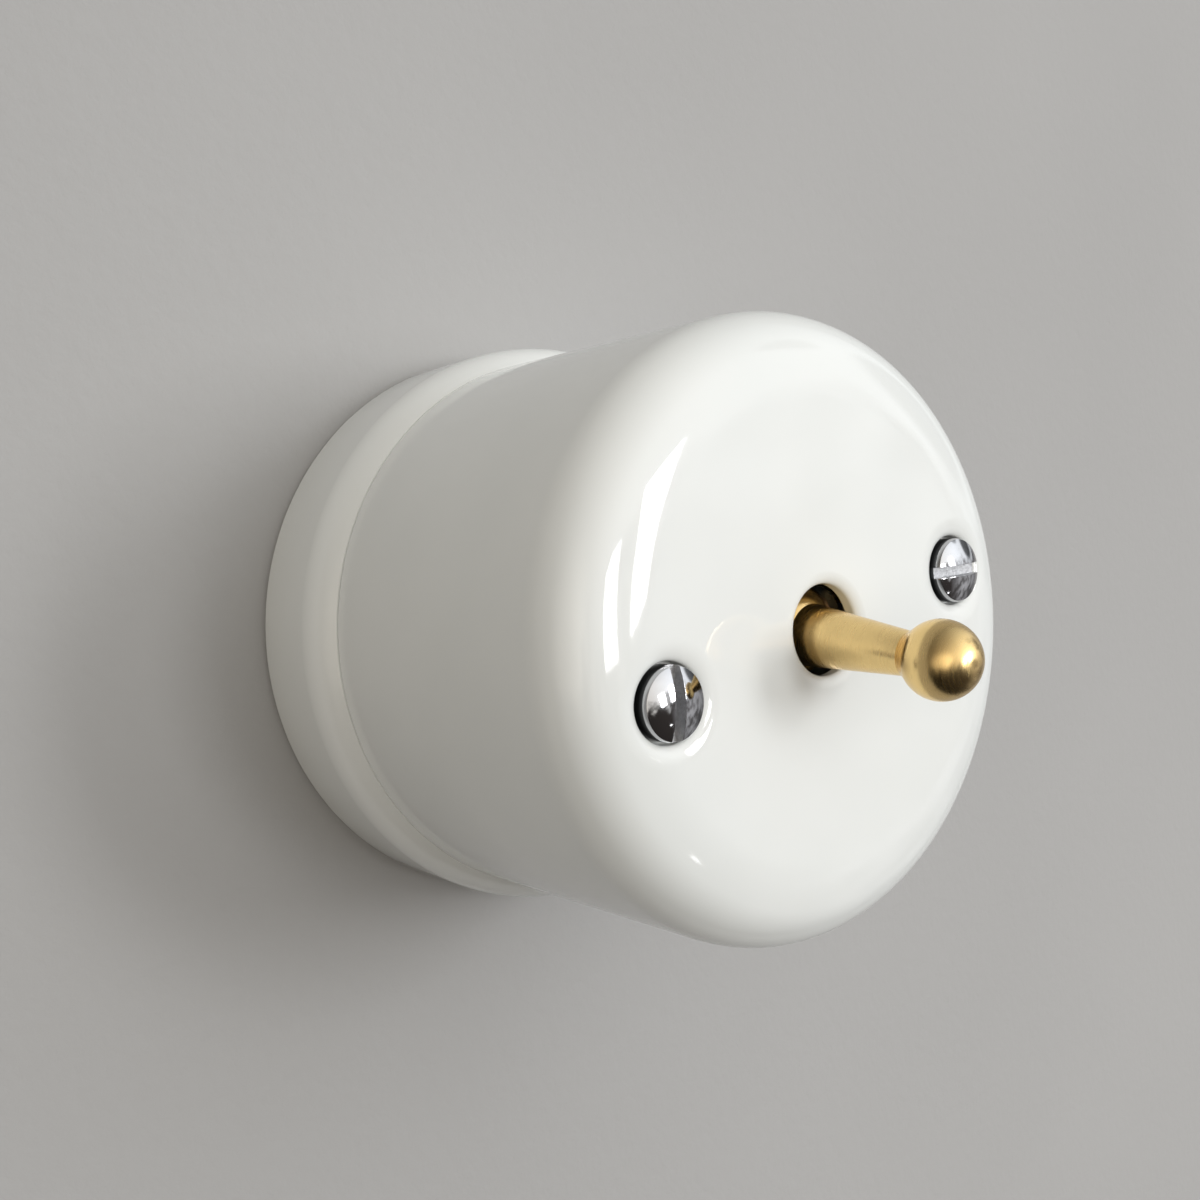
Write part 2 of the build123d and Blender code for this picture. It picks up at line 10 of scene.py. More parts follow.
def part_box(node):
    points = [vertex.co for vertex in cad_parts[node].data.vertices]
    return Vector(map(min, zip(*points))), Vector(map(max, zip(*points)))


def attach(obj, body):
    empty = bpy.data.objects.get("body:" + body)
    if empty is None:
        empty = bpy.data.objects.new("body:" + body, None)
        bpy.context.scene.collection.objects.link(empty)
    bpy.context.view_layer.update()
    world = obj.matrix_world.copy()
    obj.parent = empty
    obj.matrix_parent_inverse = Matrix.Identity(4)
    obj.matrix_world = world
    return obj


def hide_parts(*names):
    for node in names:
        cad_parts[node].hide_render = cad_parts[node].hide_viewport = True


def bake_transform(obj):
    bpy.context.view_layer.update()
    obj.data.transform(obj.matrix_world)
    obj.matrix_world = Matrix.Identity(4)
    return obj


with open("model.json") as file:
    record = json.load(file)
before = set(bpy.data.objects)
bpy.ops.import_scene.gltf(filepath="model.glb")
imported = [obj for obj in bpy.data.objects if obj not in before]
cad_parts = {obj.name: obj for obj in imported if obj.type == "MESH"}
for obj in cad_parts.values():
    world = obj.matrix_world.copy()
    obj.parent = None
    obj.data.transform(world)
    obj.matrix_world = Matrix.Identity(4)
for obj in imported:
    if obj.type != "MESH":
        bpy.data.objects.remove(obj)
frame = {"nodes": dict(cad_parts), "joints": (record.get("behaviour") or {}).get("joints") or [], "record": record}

# A surface-mounted toggle switch of glazed porcelain. The helpers work in the bench frame, where
# the switch lies on its back with z as the distance from the wall, and ON_WALL stands it up.

bl_info = {
    "name": "Porcelain Toggle Switch",
    "version": (1, 0, 0),
    "blender": (4, 5, 0),
    "location": "View3D > Sidebar > Switch",
    "description": "Makes a glazed porcelain toggle switch with a turned brass lever",
    "category": "Add Mesh",
}

MM = 0.001
ON_WALL = Matrix(((1, 0, 0, 0), (0, 0, -1, 0), (0, 1, 0, 0), (0, 0, 0, 1)))
ROUND_SEGMENTS = 256
FINE_SEGMENTS = 160
HOLE_SEGMENTS = 96
SMALL_SEGMENTS = 48
WIRE_SEGMENTS = 16
SPRING_POINTS = 280
EDGE_STEPS = 6
MOUTH_STEPS = 12
DOME_STEPS = 24
SHOULDER_STEPS = 28
FINEST_STEP = 0.4 * MM
TURN_STEP = radians(7.5)
ARC_STEP = radians(3)
HAIR = 0.01 * MM
CRISP_EDGE = 0.2 * MM
SOFT_EDGE = 0.3 * MM
BLUNT_EDGE = 0.4 * MM
SENSOR_WIDTH = 36.0
LAMP_DISTANCE = 1.1

base_low, base_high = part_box("base")
cover_low, cover_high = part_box("cover")
FACE_CENTRE = Vector((0, cover_low.y, 0))
lever_joint = next(joint for joint in frame["joints"] if joint["name"] == "lever_tilt")


def length(name, description, millimetres):
    """Property for a length, given in millimetres and kept in metres."""
    return bpy.props.FloatProperty(name=name, description=description, default=millimetres * MM,
                                   precision=5, unit="LENGTH", subtype="DISTANCE")


def angle(name, description, degrees):
    """Property for an angle, given in degrees."""
    return bpy.props.FloatProperty(name=name, description=description, default=radians(degrees),
                                   unit="ROTATION", subtype="ANGLE")


def colour(name, description, *shade):
    """Property for a colour, as linear red, green and blue."""
    return bpy.props.FloatVectorProperty(name=name, description=description, default=(*shade, 1.0),
                                         size=4, min=0.0, max=1.0, subtype="COLOR")


class BaseSizes(bpy.types.PropertyGroup):
    radius: length("Radius", "Outer radius of the base", base_high.x / MM)
    side_height: length("Side height", "Height at which the shoulder starts", 10.7)
    shoulder_round: length("Shoulder", "Radius of the shoulder", 5.3)
    foot_round: length("Foot edge", "Radius of the edge against the wall", 0.8)
    seam_height: length("Seam height", "Height at which the cover stands on the shoulder",
                        -cover_high.y / MM)
    spigot_radius: length("Spigot radius", "Radius of the ring that centres the cover", 28.3)
    spigot_height: length("Spigot height", "Height of the ring that centres the cover", -base_low.y / MM)
    floor_height: length("Floor", "Thickness of the floor", 6.0)
    cavity_radius: length("Cavity radius", "Radius of the wiring space", 25.0)
    cavity_round: length("Cavity corner", "Radius between the floor and the wall", 1.5)
    boss_radius: length("Boss radius", "Radius of the two bosses under the pillars", 5.0)
    hole_circle: length("Hole circle", "Radius of the circle of the wall holes and wire entries", 19.0)
    mouth_round: length("Hole mouths", "Radius of the glazed mouths of the holes in the back", 0.5)
    back_recess: length("Back recess", "Depth of the recesses for screw heads in the back", 2.6)
    pillar_recess: length("Pillar recess", "Radius of the recess for the head of a pillar's screw", 3.75)
    body_recess: length("Body recess", "Radius of the recess for the head of a body screw", 3.0)
    m4_clearance: length("M4 clearance", "Radius of the holes for M4 and wall screws", 2.25)
    m3_clearance: length("M3 clearance", "Radius of the holes for M3 screws", 1.65)
    wall_head: length("Wall head", "Radius of the counterbore for the head of a wall screw", 3.8)
    wall_head_depth: length("Wall head depth", "Depth of that counterbore", 2.0)
    wire_entry: length("Wire entry", "Radius of the wire entries", 3.6)


class CoverSizes(bpy.types.PropertyGroup):
    height: length("Height", "Distance of the face from the wall", -cover_low.y / MM)
    draft: angle("Draft", "Taper of the side", 0.65)
    rim_round: length("Rim", "Radius of the soft rim", 6.0)
    rim_turn: angle("Rim turn", "Angle at which the rim passes into the crown", 76.0)
    crown_round: length("Crown", "Radius of the crown between the rim and the flat face", 20.0)
    wall: length("Wall", "Thickness of the side", 4.2)
    foot_edge: length("Foot edge", "Radius of the edges of the foot", 0.5)
    face_thickness: length("Face", "Thickness of the face", 5.0)
    inner_round: length("Inner corner", "Radius between the inner side and the face", 4.5)
    lever_hole: length("Lever hole", "Radius of the hole of the lever", 4.6)
    lever_mouth: length("Lever mouth", "Width of the soft mouth of the lever's hole", 1.3)
    lever_mouth_depth: length("Lever mouth depth", "Depth of the soft mouth of the lever's hole", 0.7)
    pocket_radius: length("Pocket radius", "Radius of the pocket behind the lever's hole", 9.5)
    pocket_face: length("Pocket face", "Thickness of the face over the pocket", 1.8)
    boss_radius: length("Boss radius", "Radius of the bosses under the screws", 5.2)
    boss_foot: length("Boss foot", "Height of the foot of these bosses", 47.0)
    recess_radius: length("Recess radius", "Radius of a screw's recess", 3.8)
    recess_mouth: length("Recess mouth", "Width of the soft mouth of a screw's recess", 2.2)
    recess_mouth_depth: length("Recess mouth depth", "Depth of the soft mouth of a screw's recess", 0.8)
    recess_depth: length("Recess depth", "Depth of a screw's recess", 2.0)
    clearance: length("Clearance", "Radius of the hole for the screw's shank", 2.25)


class ScrewSizes(bpy.types.PropertyGroup):
    place: length("Place", "Distance of the cover screws from the axis", 21.5)
    left_slot: angle("Left slot", "Angle of the slot of the left screw", 76.0)
    right_slot: angle("Right slot", "Angle of the slot of the right screw", -10.0)
    head_radius: length("M4 head radius", "Radius of the head of an M4 screw", 3.5)
    head_side: length("M4 head side", "Height of the side of the cover screw's head", 2.45)
    dome: length("Dome", "Rise of the cover screw's head", 0.75)
    shank_radius: length("M4 shank radius", "Radius of the shank of an M4 screw", 1.95)
    pitch: length("M4 pitch", "Pitch of the thread of an M4 screw", 0.7)
    slot_width: length("M4 slot width", "Width of the slot of an M4 screw", 1.2)
    slot_depth: length("M4 slot depth", "Depth of the slot of an M4 screw", 1.5)
    edge: length("M4 edge", "Width of the chamfer round an M4 head", 0.12)
    edge_height: length("M4 edge height", "Height of the chamfer round an M4 head", 0.38)
    small_head_radius: length("M3 head radius", "Radius of the head of an M3 screw", 2.6)
    small_head_side: length("M3 head side", "Height of the head of an M3 screw", 1.9)
    small_shank_radius: length("M3 shank radius", "Radius of the shank of an M3 screw", 1.45)
    small_pitch: length("M3 pitch", "Pitch of the thread of an M3 screw", 0.5)
    small_slot_width: length("M3 slot width", "Width of the slot of an M3 screw", 0.8)
    small_slot_depth: length("M3 slot depth", "Depth of the slot of an M3 screw", 0.9)
    small_edge: length("M3 edge", "Width of the chamfer round an M3 head", 0.2)
    burnish: length("Burnish", "Width of the rounded edges of a slot", 0.12)
    cover_length: length("Cover screw", "Length of a cover screw", 20.0)
    pillar_length: length("Pillar screw", "Length of the screw behind a pillar", 22.0)
    pillar_head: length("Pillar screw's head", "Height of the head of the screw behind a pillar", 2.2)
    body_length: length("Body screw", "Length of a screw that holds the mechanism's body", 12.0)
    bridge_length: length("Bridge screw", "Length of a screw that holds the bridge", 8.0)
    clamp_length: length("Clamp screw", "Length of a screw of a clamp", 6.0)
    body_x: length("Body screw's side", "Distance of the body screws beside the axis", 6.4)
    body_y: length("Body screw's height", "Distance of the body screws above and below the axis", 13.6)
    bridge_y: length("Bridge screw's height", "Distance of the bridge's screws above and below the axis",
                     14.0)
    bridge_seat: length("Bridge seat", "Distance of the bridge screws' seats from the wall", 29.2)
    clamp_x: length("Clamp screw's side", "Distance of the clamps' screws beside the axis", 12.8)
    clamp_rise: length("Clamp rise", "Height of a clamp screw's seat over its clamp", 0.8)


class LeverSizes(bpy.types.PropertyGroup):
    pivot_height: length("Pivot height", "Distance of the pivot from the wall",
                         -lever_joint["pos_m"][1] / MM)
    tilt: angle("Tilt", "Angle of the lever from the axis at rest", 7.5)
    knob_radius: length("Knob radius", "Radius of the knob", 3.8)
    knob_reach: length("Knob reach", "Distance of the knob's centre from the pivot", 19.9)
    neck_reach: length("Neck reach", "Distance of the neck from the pivot", 16.4)
    neck_radius: length("Neck radius", "Radius of the shaft at the neck", 2.12)
    neck_step: length("Neck step", "Step from the shaft to the flare", 0.1)
    flare_radius: length("Flare radius", "Radius at which the flare meets the knob", 2.72)
    root_radius: length("Root radius", "Radius of the shaft at the ball", 3.2)
    ball_radius: length("Ball radius", "Radius of the pivot ball", 5.45)
    ball_flat: length("Ball flat", "Distance of the ball's flats from its centre", 4.3)
    tail_radius: length("Tail radius", "Radius of the tail", 2.25)
    tail_reach: length("Tail reach", "Distance of the tail's end from the pivot", 9.6)
    spigot_radius: length("Spigot radius", "Radius of the spigot that holds the cap", 1.6)
    spigot_reach: length("Spigot reach", "Distance of the spigot's end from the pivot", 12.2)
    pin_bore: length("Pin bore", "Radius of the bore for the pivot pin", 1.05)


class SpringSizes(bpy.types.PropertyGroup):
    wire_radius: length("Wire radius", "Radius of the spring's wire", 0.35)
    mean_radius: length("Mean radius", "Radius of the coils to the middle of the wire", 2.75)
    turns: bpy.props.FloatProperty(name="Turns", description="Number of coils", default=7.0, min=2.0)
    play: length("Play", "Room left at each end of the spring", 0.6)


class Finishes(bpy.types.PropertyGroup):
    glaze: colour("Glaze", "Colour of the glazed porcelain", 0.832, 0.857, 0.85)
    glaze_pooled: colour("Pooled glaze", "Colour where the glaze lies thicker", 0.798, 0.826, 0.82)
    speck: colour("Specks", "Colour of the tiny specks in the glaze", 0.33, 0.29, 0.24)
    bisque: colour("Bisque", "Colour of the unglazed porcelain", 0.72, 0.69, 0.63)
    chrome: colour("Chrome", "Colour of the polished screws", 0.52, 0.525, 0.54)
    zinc: colour("Zinc", "Colour of the plated inner screws", 0.55, 0.55, 0.53)
    brass: colour("Brass", "Colour of the turned lever", 0.83, 0.60, 0.27)
    inner_brass: colour("Inner brass", "Colour of the brass parts inside", 0.74, 0.52, 0.23)
    bronze: colour("Bronze", "Colour of the washers", 0.55, 0.33, 0.17)
    nickel: colour("Nickel", "Colour of the plated strip", 0.60, 0.59, 0.56)
    steel: colour("Steel", "Colour of the pins", 0.50, 0.50, 0.50)
    spring: colour("Spring", "Colour of the spring wire", 0.36, 0.36, 0.37)
    silver: colour("Silver", "Colour of the contacts", 0.80, 0.78, 0.74)
    moulding: colour("Moulding", "Colour of the dark moulded parts", 0.030, 0.022, 0.018)
    moulding_fleck: colour("Flecks", "Colour of the filler's flecks in the moulding", 0.065, 0.045, 0.030)


class Studio(bpy.types.PropertyGroup):
    camera_place: bpy.props.FloatVectorProperty(name="Camera", description="Place of the camera",
                                                default=(-0.087209, -0.138537, 0.029830), size=3,
                                                unit="LENGTH", subtype="TRANSLATION")
    azimuth: angle("Azimuth", "Direction of the camera round the switch", -36.6086)
    elevation: angle("Elevation", "Angle of the camera over the horizon", 10.3851)
    roll: angle("Roll", "Lean of the camera to its right", 13.4448)
    lens: bpy.props.FloatProperty(name="Lens", description="Focal length", default=36.5623,
                                  unit="CAMERA", subtype="DISTANCE_CAMERA")
    wall_shade: colour("Wall", "Colour of the wall", 0.42, 0.42, 0.42)
    wall_radius: length("Wall radius", "Radius of the round wall", 2600.0)
    wall_hole: length("Wall hole", "Radius of the hole behind the base, which shows its back", 33.0)
    wall_ring: length("Wall ring", "Radius of the ring of points between the hole and the edge", 200.0)
    wall_gap: length("Wall gap", "Gap between the base and the wall", 0.2)
    room_left: colour("Room on the left", "Colour of the room's light from the left", 0.80, 0.72, 0.61)
    room_right: colour("Room on the right", "Colour of the room's light from the right", 0.79, 0.81, 0.83)
    room_below: colour("Room below", "Colour of the dim lower half of the room", 0.028, 0.024, 0.022)
    room_things: colour("Things below", "Colour of the pale things low on the right", 0.36, 0.355, 0.36)


class SwitchSettings(bpy.types.PropertyGroup):
    base: bpy.props.PointerProperty(type=BaseSizes, name="Base", description="Sizes of the base")
    cover: bpy.props.PointerProperty(type=CoverSizes, name="Cover", description="Sizes of the cover")
    screws: bpy.props.PointerProperty(type=ScrewSizes, name="Screws", description="Sizes of the screws")
    lever: bpy.props.PointerProperty(type=LeverSizes, name="Lever", description="Sizes of the lever")
    spring: bpy.props.PointerProperty(type=SpringSizes, name="Spring", description="Sizes of the spring")
    finishes: bpy.props.PointerProperty(type=Finishes, name="Finishes", description="Colours")
    studio: bpy.props.PointerProperty(type=Studio, name="Studio", description="Camera and wall")


# Outlines


def rounded(corners):
    """Outline through corners given as (x, y, radius), with an arc in place of each round corner."""
    points = []
    for index, (x, y, radius) in enumerate(corners):
        here = Vector((x, y))
        if not radius:
            points.append(here)
            continue
        before = (Vector(corners[index - 1][:2]) - here).normalized()
        after = (Vector(corners[index + 1][:2]) - here).normalized()
        half = before.angle(after) / 2
        centre = here + (before + after).normalized() * radius / sin(half)
        start = here + before * radius / tan(half) - centre
        sweep = pi - 2 * half
        count = max(2, ceil(sweep / TURN_STEP), ceil(sweep * radius / FINEST_STEP))
        step = -sweep / count if before.cross(after) > 0 else sweep / count
        points += [centre + Matrix.Rotation(step * turn, 2) @ start for turn in range(count + 1)]
    return [p for i, p in enumerate(points) if i == 0 or (p - points[i - 1]).length > HAIR / 10]


def arc(radius, height, start, end):
    """Points of an arc about a point on the axis, as corners with no rounding."""
    count = max(4, ceil(abs(end - start) / ARC_STEP))
    steps = [start + (end - start) * step / count for step in range(count + 1)]
    return [(radius * cos(a), height + radius * sin(a), 0) for a in steps]


def seat_radius(base):
    """Radius at which the shoulder of the base meets the foot of the cover."""
    rise = base.seam_height - base.side_height
    return base.radius - base.shoulder_round + sqrt(base.shoulder_round ** 2 - rise ** 2)


# Node trees


def add(tree, kind, values=None, **settings):
    """Add a node with its settings, and set or link its inputs by name or number."""
    made = tree.nodes.new(kind)
    for name, value in settings.items():
        setattr(made, name, value)
    for name, value in (values or {}).items():
        if isinstance(value, bpy.types.NodeSocket):
            tree.links.new(value, made.inputs[name])
        else:
            made.inputs[name].default_value = value
    return made


def reckon(tree, operation, one, two=0.0):
    """Result of an operation on one or two numbers."""
    return add(tree, "ShaderNodeMath", {0: one, 1: two}, operation=operation).outputs[0]


def between(tree, value, low, high, start=0.0, end=1.0, kind="LINEAR"):
    """Number that goes from start to end while a value goes from low to high."""
    return add(tree, "ShaderNodeMapRange",
               {"Value": value, "From Min": low, "From Max": high, "To Min": start, "To Max": end},
               interpolation_type=kind).outputs["Result"]


def shape_tree(name, inputs):
    """Empty geometry node tree with named inputs, and its group input node."""
    tree = bpy.data.node_groups.new(name, "GeometryNodeTree")
    tree.interface.new_socket("Geometry", in_out="INPUT", socket_type="NodeSocketGeometry")
    for label, kind in inputs.items():
        tree.interface.new_socket(label, in_out="INPUT", socket_type=kind)
    tree.interface.new_socket("Geometry", in_out="OUTPUT", socket_type="NodeSocketGeometry")
    return tree, add(tree, "NodeGroupInput")


def finish_tree(tree, geometry, material):
    """End a geometry tree in real faces with their material."""
    smooth = add(tree, "GeometryNodeSetShadeSmooth", {"Geometry": geometry})
    real = add(tree, "GeometryNodeRealizeInstances", {"Geometry": smooth.outputs[0]})
    dressed = add(tree, "GeometryNodeSetMaterial", {"Geometry": real.outputs[0], "Material": material})
    add(tree, "NodeGroupOutput", {"Geometry": dressed.outputs[0]})


def turning_tree():
    """Tree that turns an outline, a line of edges in (radius, 0, height), about the z axis."""
    tree, given = shape_tree("Turned piece", {"Segments": "NodeSocketInt", "Finish": "NodeSocketMaterial"})
    line = add(tree, "GeometryNodeMeshToCurve", {"Mesh": given.outputs["Geometry"]})
    circle = add(tree, "GeometryNodeCurvePrimitiveCircle",
                 {"Resolution": given.outputs["Segments"], "Radius": MM})
    moved = add(tree, "GeometryNodeTransform",
                {"Geometry": line.outputs[0], "Translation": (-MM, 0, 0), "Scale": (1, -1, 1)})
    swept = add(tree, "GeometryNodeCurveToMesh",
                {"Curve": circle.outputs[0], "Profile Curve": moved.outputs[0]})
    closed = add(tree, "GeometryNodeMergeByDistance", {"Geometry": swept.outputs[0], "Distance": HAIR / 10})
    finish_tree(tree, closed.outputs[0], given.outputs["Finish"])


def screws_tree():
    """Tree that puts a screw on each point, turned by the point's own angles."""
    tree, given = shape_tree("Screws on points", {
        "Screw": "NodeSocketObject", "Finish": "NodeSocketMaterial", "Slot finish": "NodeSocketMaterial"})
    screw = add(tree, "GeometryNodeObjectInfo", {"Object": given.outputs["Screw"]})
    angles = add(tree, "GeometryNodeInputNamedAttribute", {"Name": "angles"}, data_type="FLOAT_VECTOR")
    turn = add(tree, "FunctionNodeEulerToRotation", {"Euler": angles.outputs["Attribute"]})
    placed = add(tree, "GeometryNodeInstanceOnPoints",
                 {"Points": given.outputs["Geometry"], "Instance": screw.outputs["Geometry"],
                  "Rotation": turn.outputs[0]})
    real = add(tree, "GeometryNodeRealizeInstances", {"Geometry": placed.outputs[0]})
    plated = add(tree, "GeometryNodeSetMaterial",
                 {"Geometry": real.outputs[0], "Material": given.outputs["Finish"]})
    milled = add(tree, "GeometryNodeInputNamedAttribute", {"Name": "milled"}, data_type="BOOLEAN")
    slots = add(tree, "GeometryNodeSetMaterial",
                {"Geometry": plated.outputs[0], "Selection": milled.outputs["Attribute"],
                 "Material": given.outputs["Slot finish"]})
    add(tree, "NodeGroupOutput", {"Geometry": slots.outputs[0]})


def spring_tree():
    """Tree for a compression spring along z with closed ends."""
    tree, given = shape_tree("Compression spring", {
        "Turns": "NodeSocketFloat", "Height": "NodeSocketFloat", "Mean radius": "NodeSocketFloat",
        "Wire radius": "NodeSocketFloat", "Place": "NodeSocketVector", "Lean": "NodeSocketVector",
        "Finish": "NodeSocketMaterial"})
    closed_end = 0.06
    end_rise = 0.4
    line = add(tree, "GeometryNodeCurvePrimitiveLine", {"Start": (0, 0, 0), "End": (0, 0, MM)})
    fine = add(tree, "GeometryNodeResampleCurve", {"Curve": line.outputs[0], "Count": SPRING_POINTS})
    share = add(tree, "GeometryNodeSplineParameter").outputs["Factor"]
    turns = reckon(tree, "MULTIPLY", share, given.outputs["Turns"])
    turn = reckon(tree, "MULTIPLY", turns, 2 * pi)
    across = reckon(tree, "MULTIPLY", reckon(tree, "COSINE", turn), given.outputs["Mean radius"])
    up = reckon(tree, "MULTIPLY", reckon(tree, "SINE", turn), given.outputs["Mean radius"])
    rise = between(tree, share, low=closed_end, high=1 - closed_end, kind="SMOOTHSTEP")
    steady = reckon(tree, "MULTIPLY", share, end_rise)
    even = reckon(tree, "MULTIPLY", reckon(tree, "ADD", rise, steady), 1 / (1 + end_rise))
    along = reckon(tree, "MULTIPLY", even, given.outputs["Height"])
    place = add(tree, "ShaderNodeCombineXYZ", {"X": across, "Y": up, "Z": along})
    coil = add(tree, "GeometryNodeSetPosition", {"Geometry": fine.outputs[0], "Position": place.outputs[0]})
    wire = add(tree, "GeometryNodeCurvePrimitiveCircle",
               {"Resolution": WIRE_SEGMENTS, "Radius": given.outputs["Wire radius"]})
    swept = add(tree, "GeometryNodeCurveToMesh",
                {"Curve": coil.outputs[0], "Profile Curve": wire.outputs[0], "Fill Caps": True})
    stood = add(tree, "GeometryNodeTransform",
                {"Geometry": swept.outputs[0], "Translation": given.outputs["Place"],
                 "Rotation": given.outputs["Lean"]})
    finish_tree(tree, stood.outputs[0], given.outputs["Finish"])


# Making and finishing meshes


def new_piece(name, points, edges=(), faces=()):
    """Mesh object at the origin."""
    mesh = bpy.data.meshes.new(name)
    mesh.from_pydata([tuple(p) for p in points], edges, faces)
    piece = bpy.data.objects.new(name, mesh)
    bpy.context.scene.collection.objects.link(piece)
    return piece


def settle(piece):
    """Turn a piece and its modifiers into a plain mesh."""
    bpy.context.view_layer.update()
    evaluated = piece.evaluated_get(bpy.context.evaluated_depsgraph_get())
    mesh = bpy.data.meshes.new_from_object(evaluated)
    piece.modifiers.clear()
    piece.data = mesh
    return piece


def grow(piece, tree, **inputs):
    """Run a geometry tree on a piece, with its inputs by name, and keep the result as a plain mesh."""
    modifier = piece.modifiers.new(tree.name, "NODES")
    modifier.node_group = tree
    for item in tree.interface.items_tree:
        value = inputs.get(item.name.replace(" ", "_").lower())
        if item.in_out == "INPUT" and value is not None:
            modifier[item.identifier] = value
    settle(piece)


def face_out(piece, merge=True):
    """Turn every face outwards, and merge doubles unless told not to."""
    shape = bmesh.new()
    shape.from_mesh(piece.data)
    if merge:
        bmesh.ops.remove_doubles(shape, verts=shape.verts, dist=HAIR / 10)
    bmesh.ops.recalc_face_normals(shape, faces=shape.faces)
    shape.to_mesh(piece.data)
    shape.free()
    return piece


def turned(name, outline, segments, material, place=Matrix()):
    """Piece turned from an outline in (radius, height), then put in place."""
    edges = [(i, i + 1) for i in range(len(outline) - 1)]
    piece = new_piece(name, [(p[0], p[1], 0) for p in outline], edges)
    grow(piece, bpy.data.node_groups["Turned piece"], segments=segments, finish=material)
    face_out(piece)
    piece.data.transform(place)
    return piece


def cut(piece, *tools):
    """Cut tools from a piece, and remove them."""
    for tool in tools:
        modifier = piece.modifiers.new("Cut", "BOOLEAN")
        modifier.operation = "DIFFERENCE"
        modifier.solver = "EXACT"
        modifier.object = tool
    settle(piece)
    for tool in tools:
        bpy.data.objects.remove(tool)


def shade(piece, sharp=radians(30)):
    """Shade smooth, with sharp edges where the surface turns by more than an angle."""
    piece.data.polygons.foreach_set("use_smooth", [True] * len(piece.data.polygons))
    piece.data.set_sharp_from_angle(angle=sharp)
    piece.modifiers.new("Weighted", "WEIGHTED_NORMAL").keep_sharp = True
    return settle(piece)


def dress(piece, *materials):
    """Give a piece its materials."""
    piece.data.materials.clear()
    for material in materials:
        piece.data.materials.append(material)
    return piece


def fit(piece, body, slot, *nodes):
    """Put a finished piece on its body, in the place of its CAD nodes."""
    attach(piece, body)
    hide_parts(*nodes)


# Materials


def new_material(name):
    """Empty node material, its tree and the object coordinates."""
    material = bpy.data.materials.new(name)
    material.use_nodes = True
    tree = material.node_tree
    tree.nodes.clear()
    return material, tree, add(tree, "ShaderNodeTexCoord").outputs["Object"]


def noise(tree, place, scale, detail=2.0, roughness=0.5, stretch=None, turn=(0, 0, 0)):
    """Noise at so many waves a metre, stretched and turned where the grain has a direction."""
    if stretch:
        place = add(tree, "ShaderNodeMapping", {"Vector": place, "Rotation": turn, "Scale": stretch},
                    vector_type="TEXTURE").outputs[0]
    return add(tree, "ShaderNodeTexNoise", {"Vector": place, "Scale": scale, "Detail": detail,
                                            "Roughness": roughness}).outputs["Fac"]


def mixed(tree, share, one, two):
    """Colour between two colours."""
    mix = add(tree, "ShaderNodeMix", data_type="RGBA")
    for socket, value in ((0, share), (6, one), (7, two)):
        if isinstance(value, bpy.types.NodeSocket):
            tree.links.new(value, mix.inputs[socket])
        else:
            mix.inputs[socket].default_value = value
    return mix.outputs[2]


def shaded(shade_of, factor):
    """Colour made darker or paler by a factor."""
    return (*(min(channel * factor, 1.0) for channel in shade_of[:3]), 1.0)


def bumped(tree, *layers):
    """Surface slope from layers of (height, depth in metres)."""
    slope = None
    for height, depth in layers:
        values = {"Height": height, "Distance": depth, "Strength": 1.0}
        if slope:
            values["Normal"] = slope
        slope = add(tree, "ShaderNodeBump", values).outputs[0]
    return slope


def surface(tree, **values):
    """Finish a material with its main shader, whose inputs are given by name."""
    named = {name.replace("_", " ").title().replace("Ior", "IOR"): value for name, value in values.items()}
    shader = add(tree, "ShaderNodeBsdfPrincipled", named)
    add(tree, "ShaderNodeOutputMaterial", {"Surface": shader.outputs[0]})


def glazed_porcelain(finishes):
    """White glaze, slightly uneven, with a faint orange peel and a few tiny specks."""
    material, tree, place = new_material("glazed_porcelain")
    clouds = noise(tree, place, scale=38.0, detail=3.0)
    body = mixed(tree, between(tree, clouds, low=0.35, high=0.65), finishes.glaze, finishes.glaze_pooled)
    cells = add(tree, "ShaderNodeTexVoronoi", {"Vector": place, "Scale": 190.0})
    rare = add(tree, "ShaderNodeSeparateColor", {0: cells.outputs["Color"]}).outputs["Red"]
    near = between(tree, cells.outputs["Distance"], low=0.02, high=0.012)
    speck = reckon(tree, "MULTIPLY", near, between(tree, rare, low=0.965, high=0.97))
    speckled = mixed(tree, speck, body, finishes.speck)
    waves = noise(tree, place, scale=55.0, detail=1.0)
    peel = noise(tree, place, scale=700.0, detail=1.0)
    slope = bumped(tree, (waves, 0.16 * MM), (peel, 0.0012 * MM))
    rough = between(tree, clouds, low=0.3, high=0.7, start=0.045, end=0.075)
    surface(tree, base_color=speckled, roughness=rough, ior=1.52, normal=slope)
    return material


def bisque(finishes):
    """Unglazed porcelain where the pieces stood in the kiln: dry, fine-grained, slightly stained."""
    material, tree, place = new_material("unglazed_porcelain")
    stain = between(tree, noise(tree, place, scale=120.0, detail=5.0, roughness=0.6), low=0.4, high=0.7)
    tone = mixed(tree, stain, finishes.bisque, shaded(finishes.bisque, 0.82))
    grain = noise(tree, place, scale=5200.0, detail=3.0, roughness=0.7)
    surface(tree, base_color=tone, roughness=0.72, normal=bumped(tree, (grain, 0.03 * MM)))
    return material


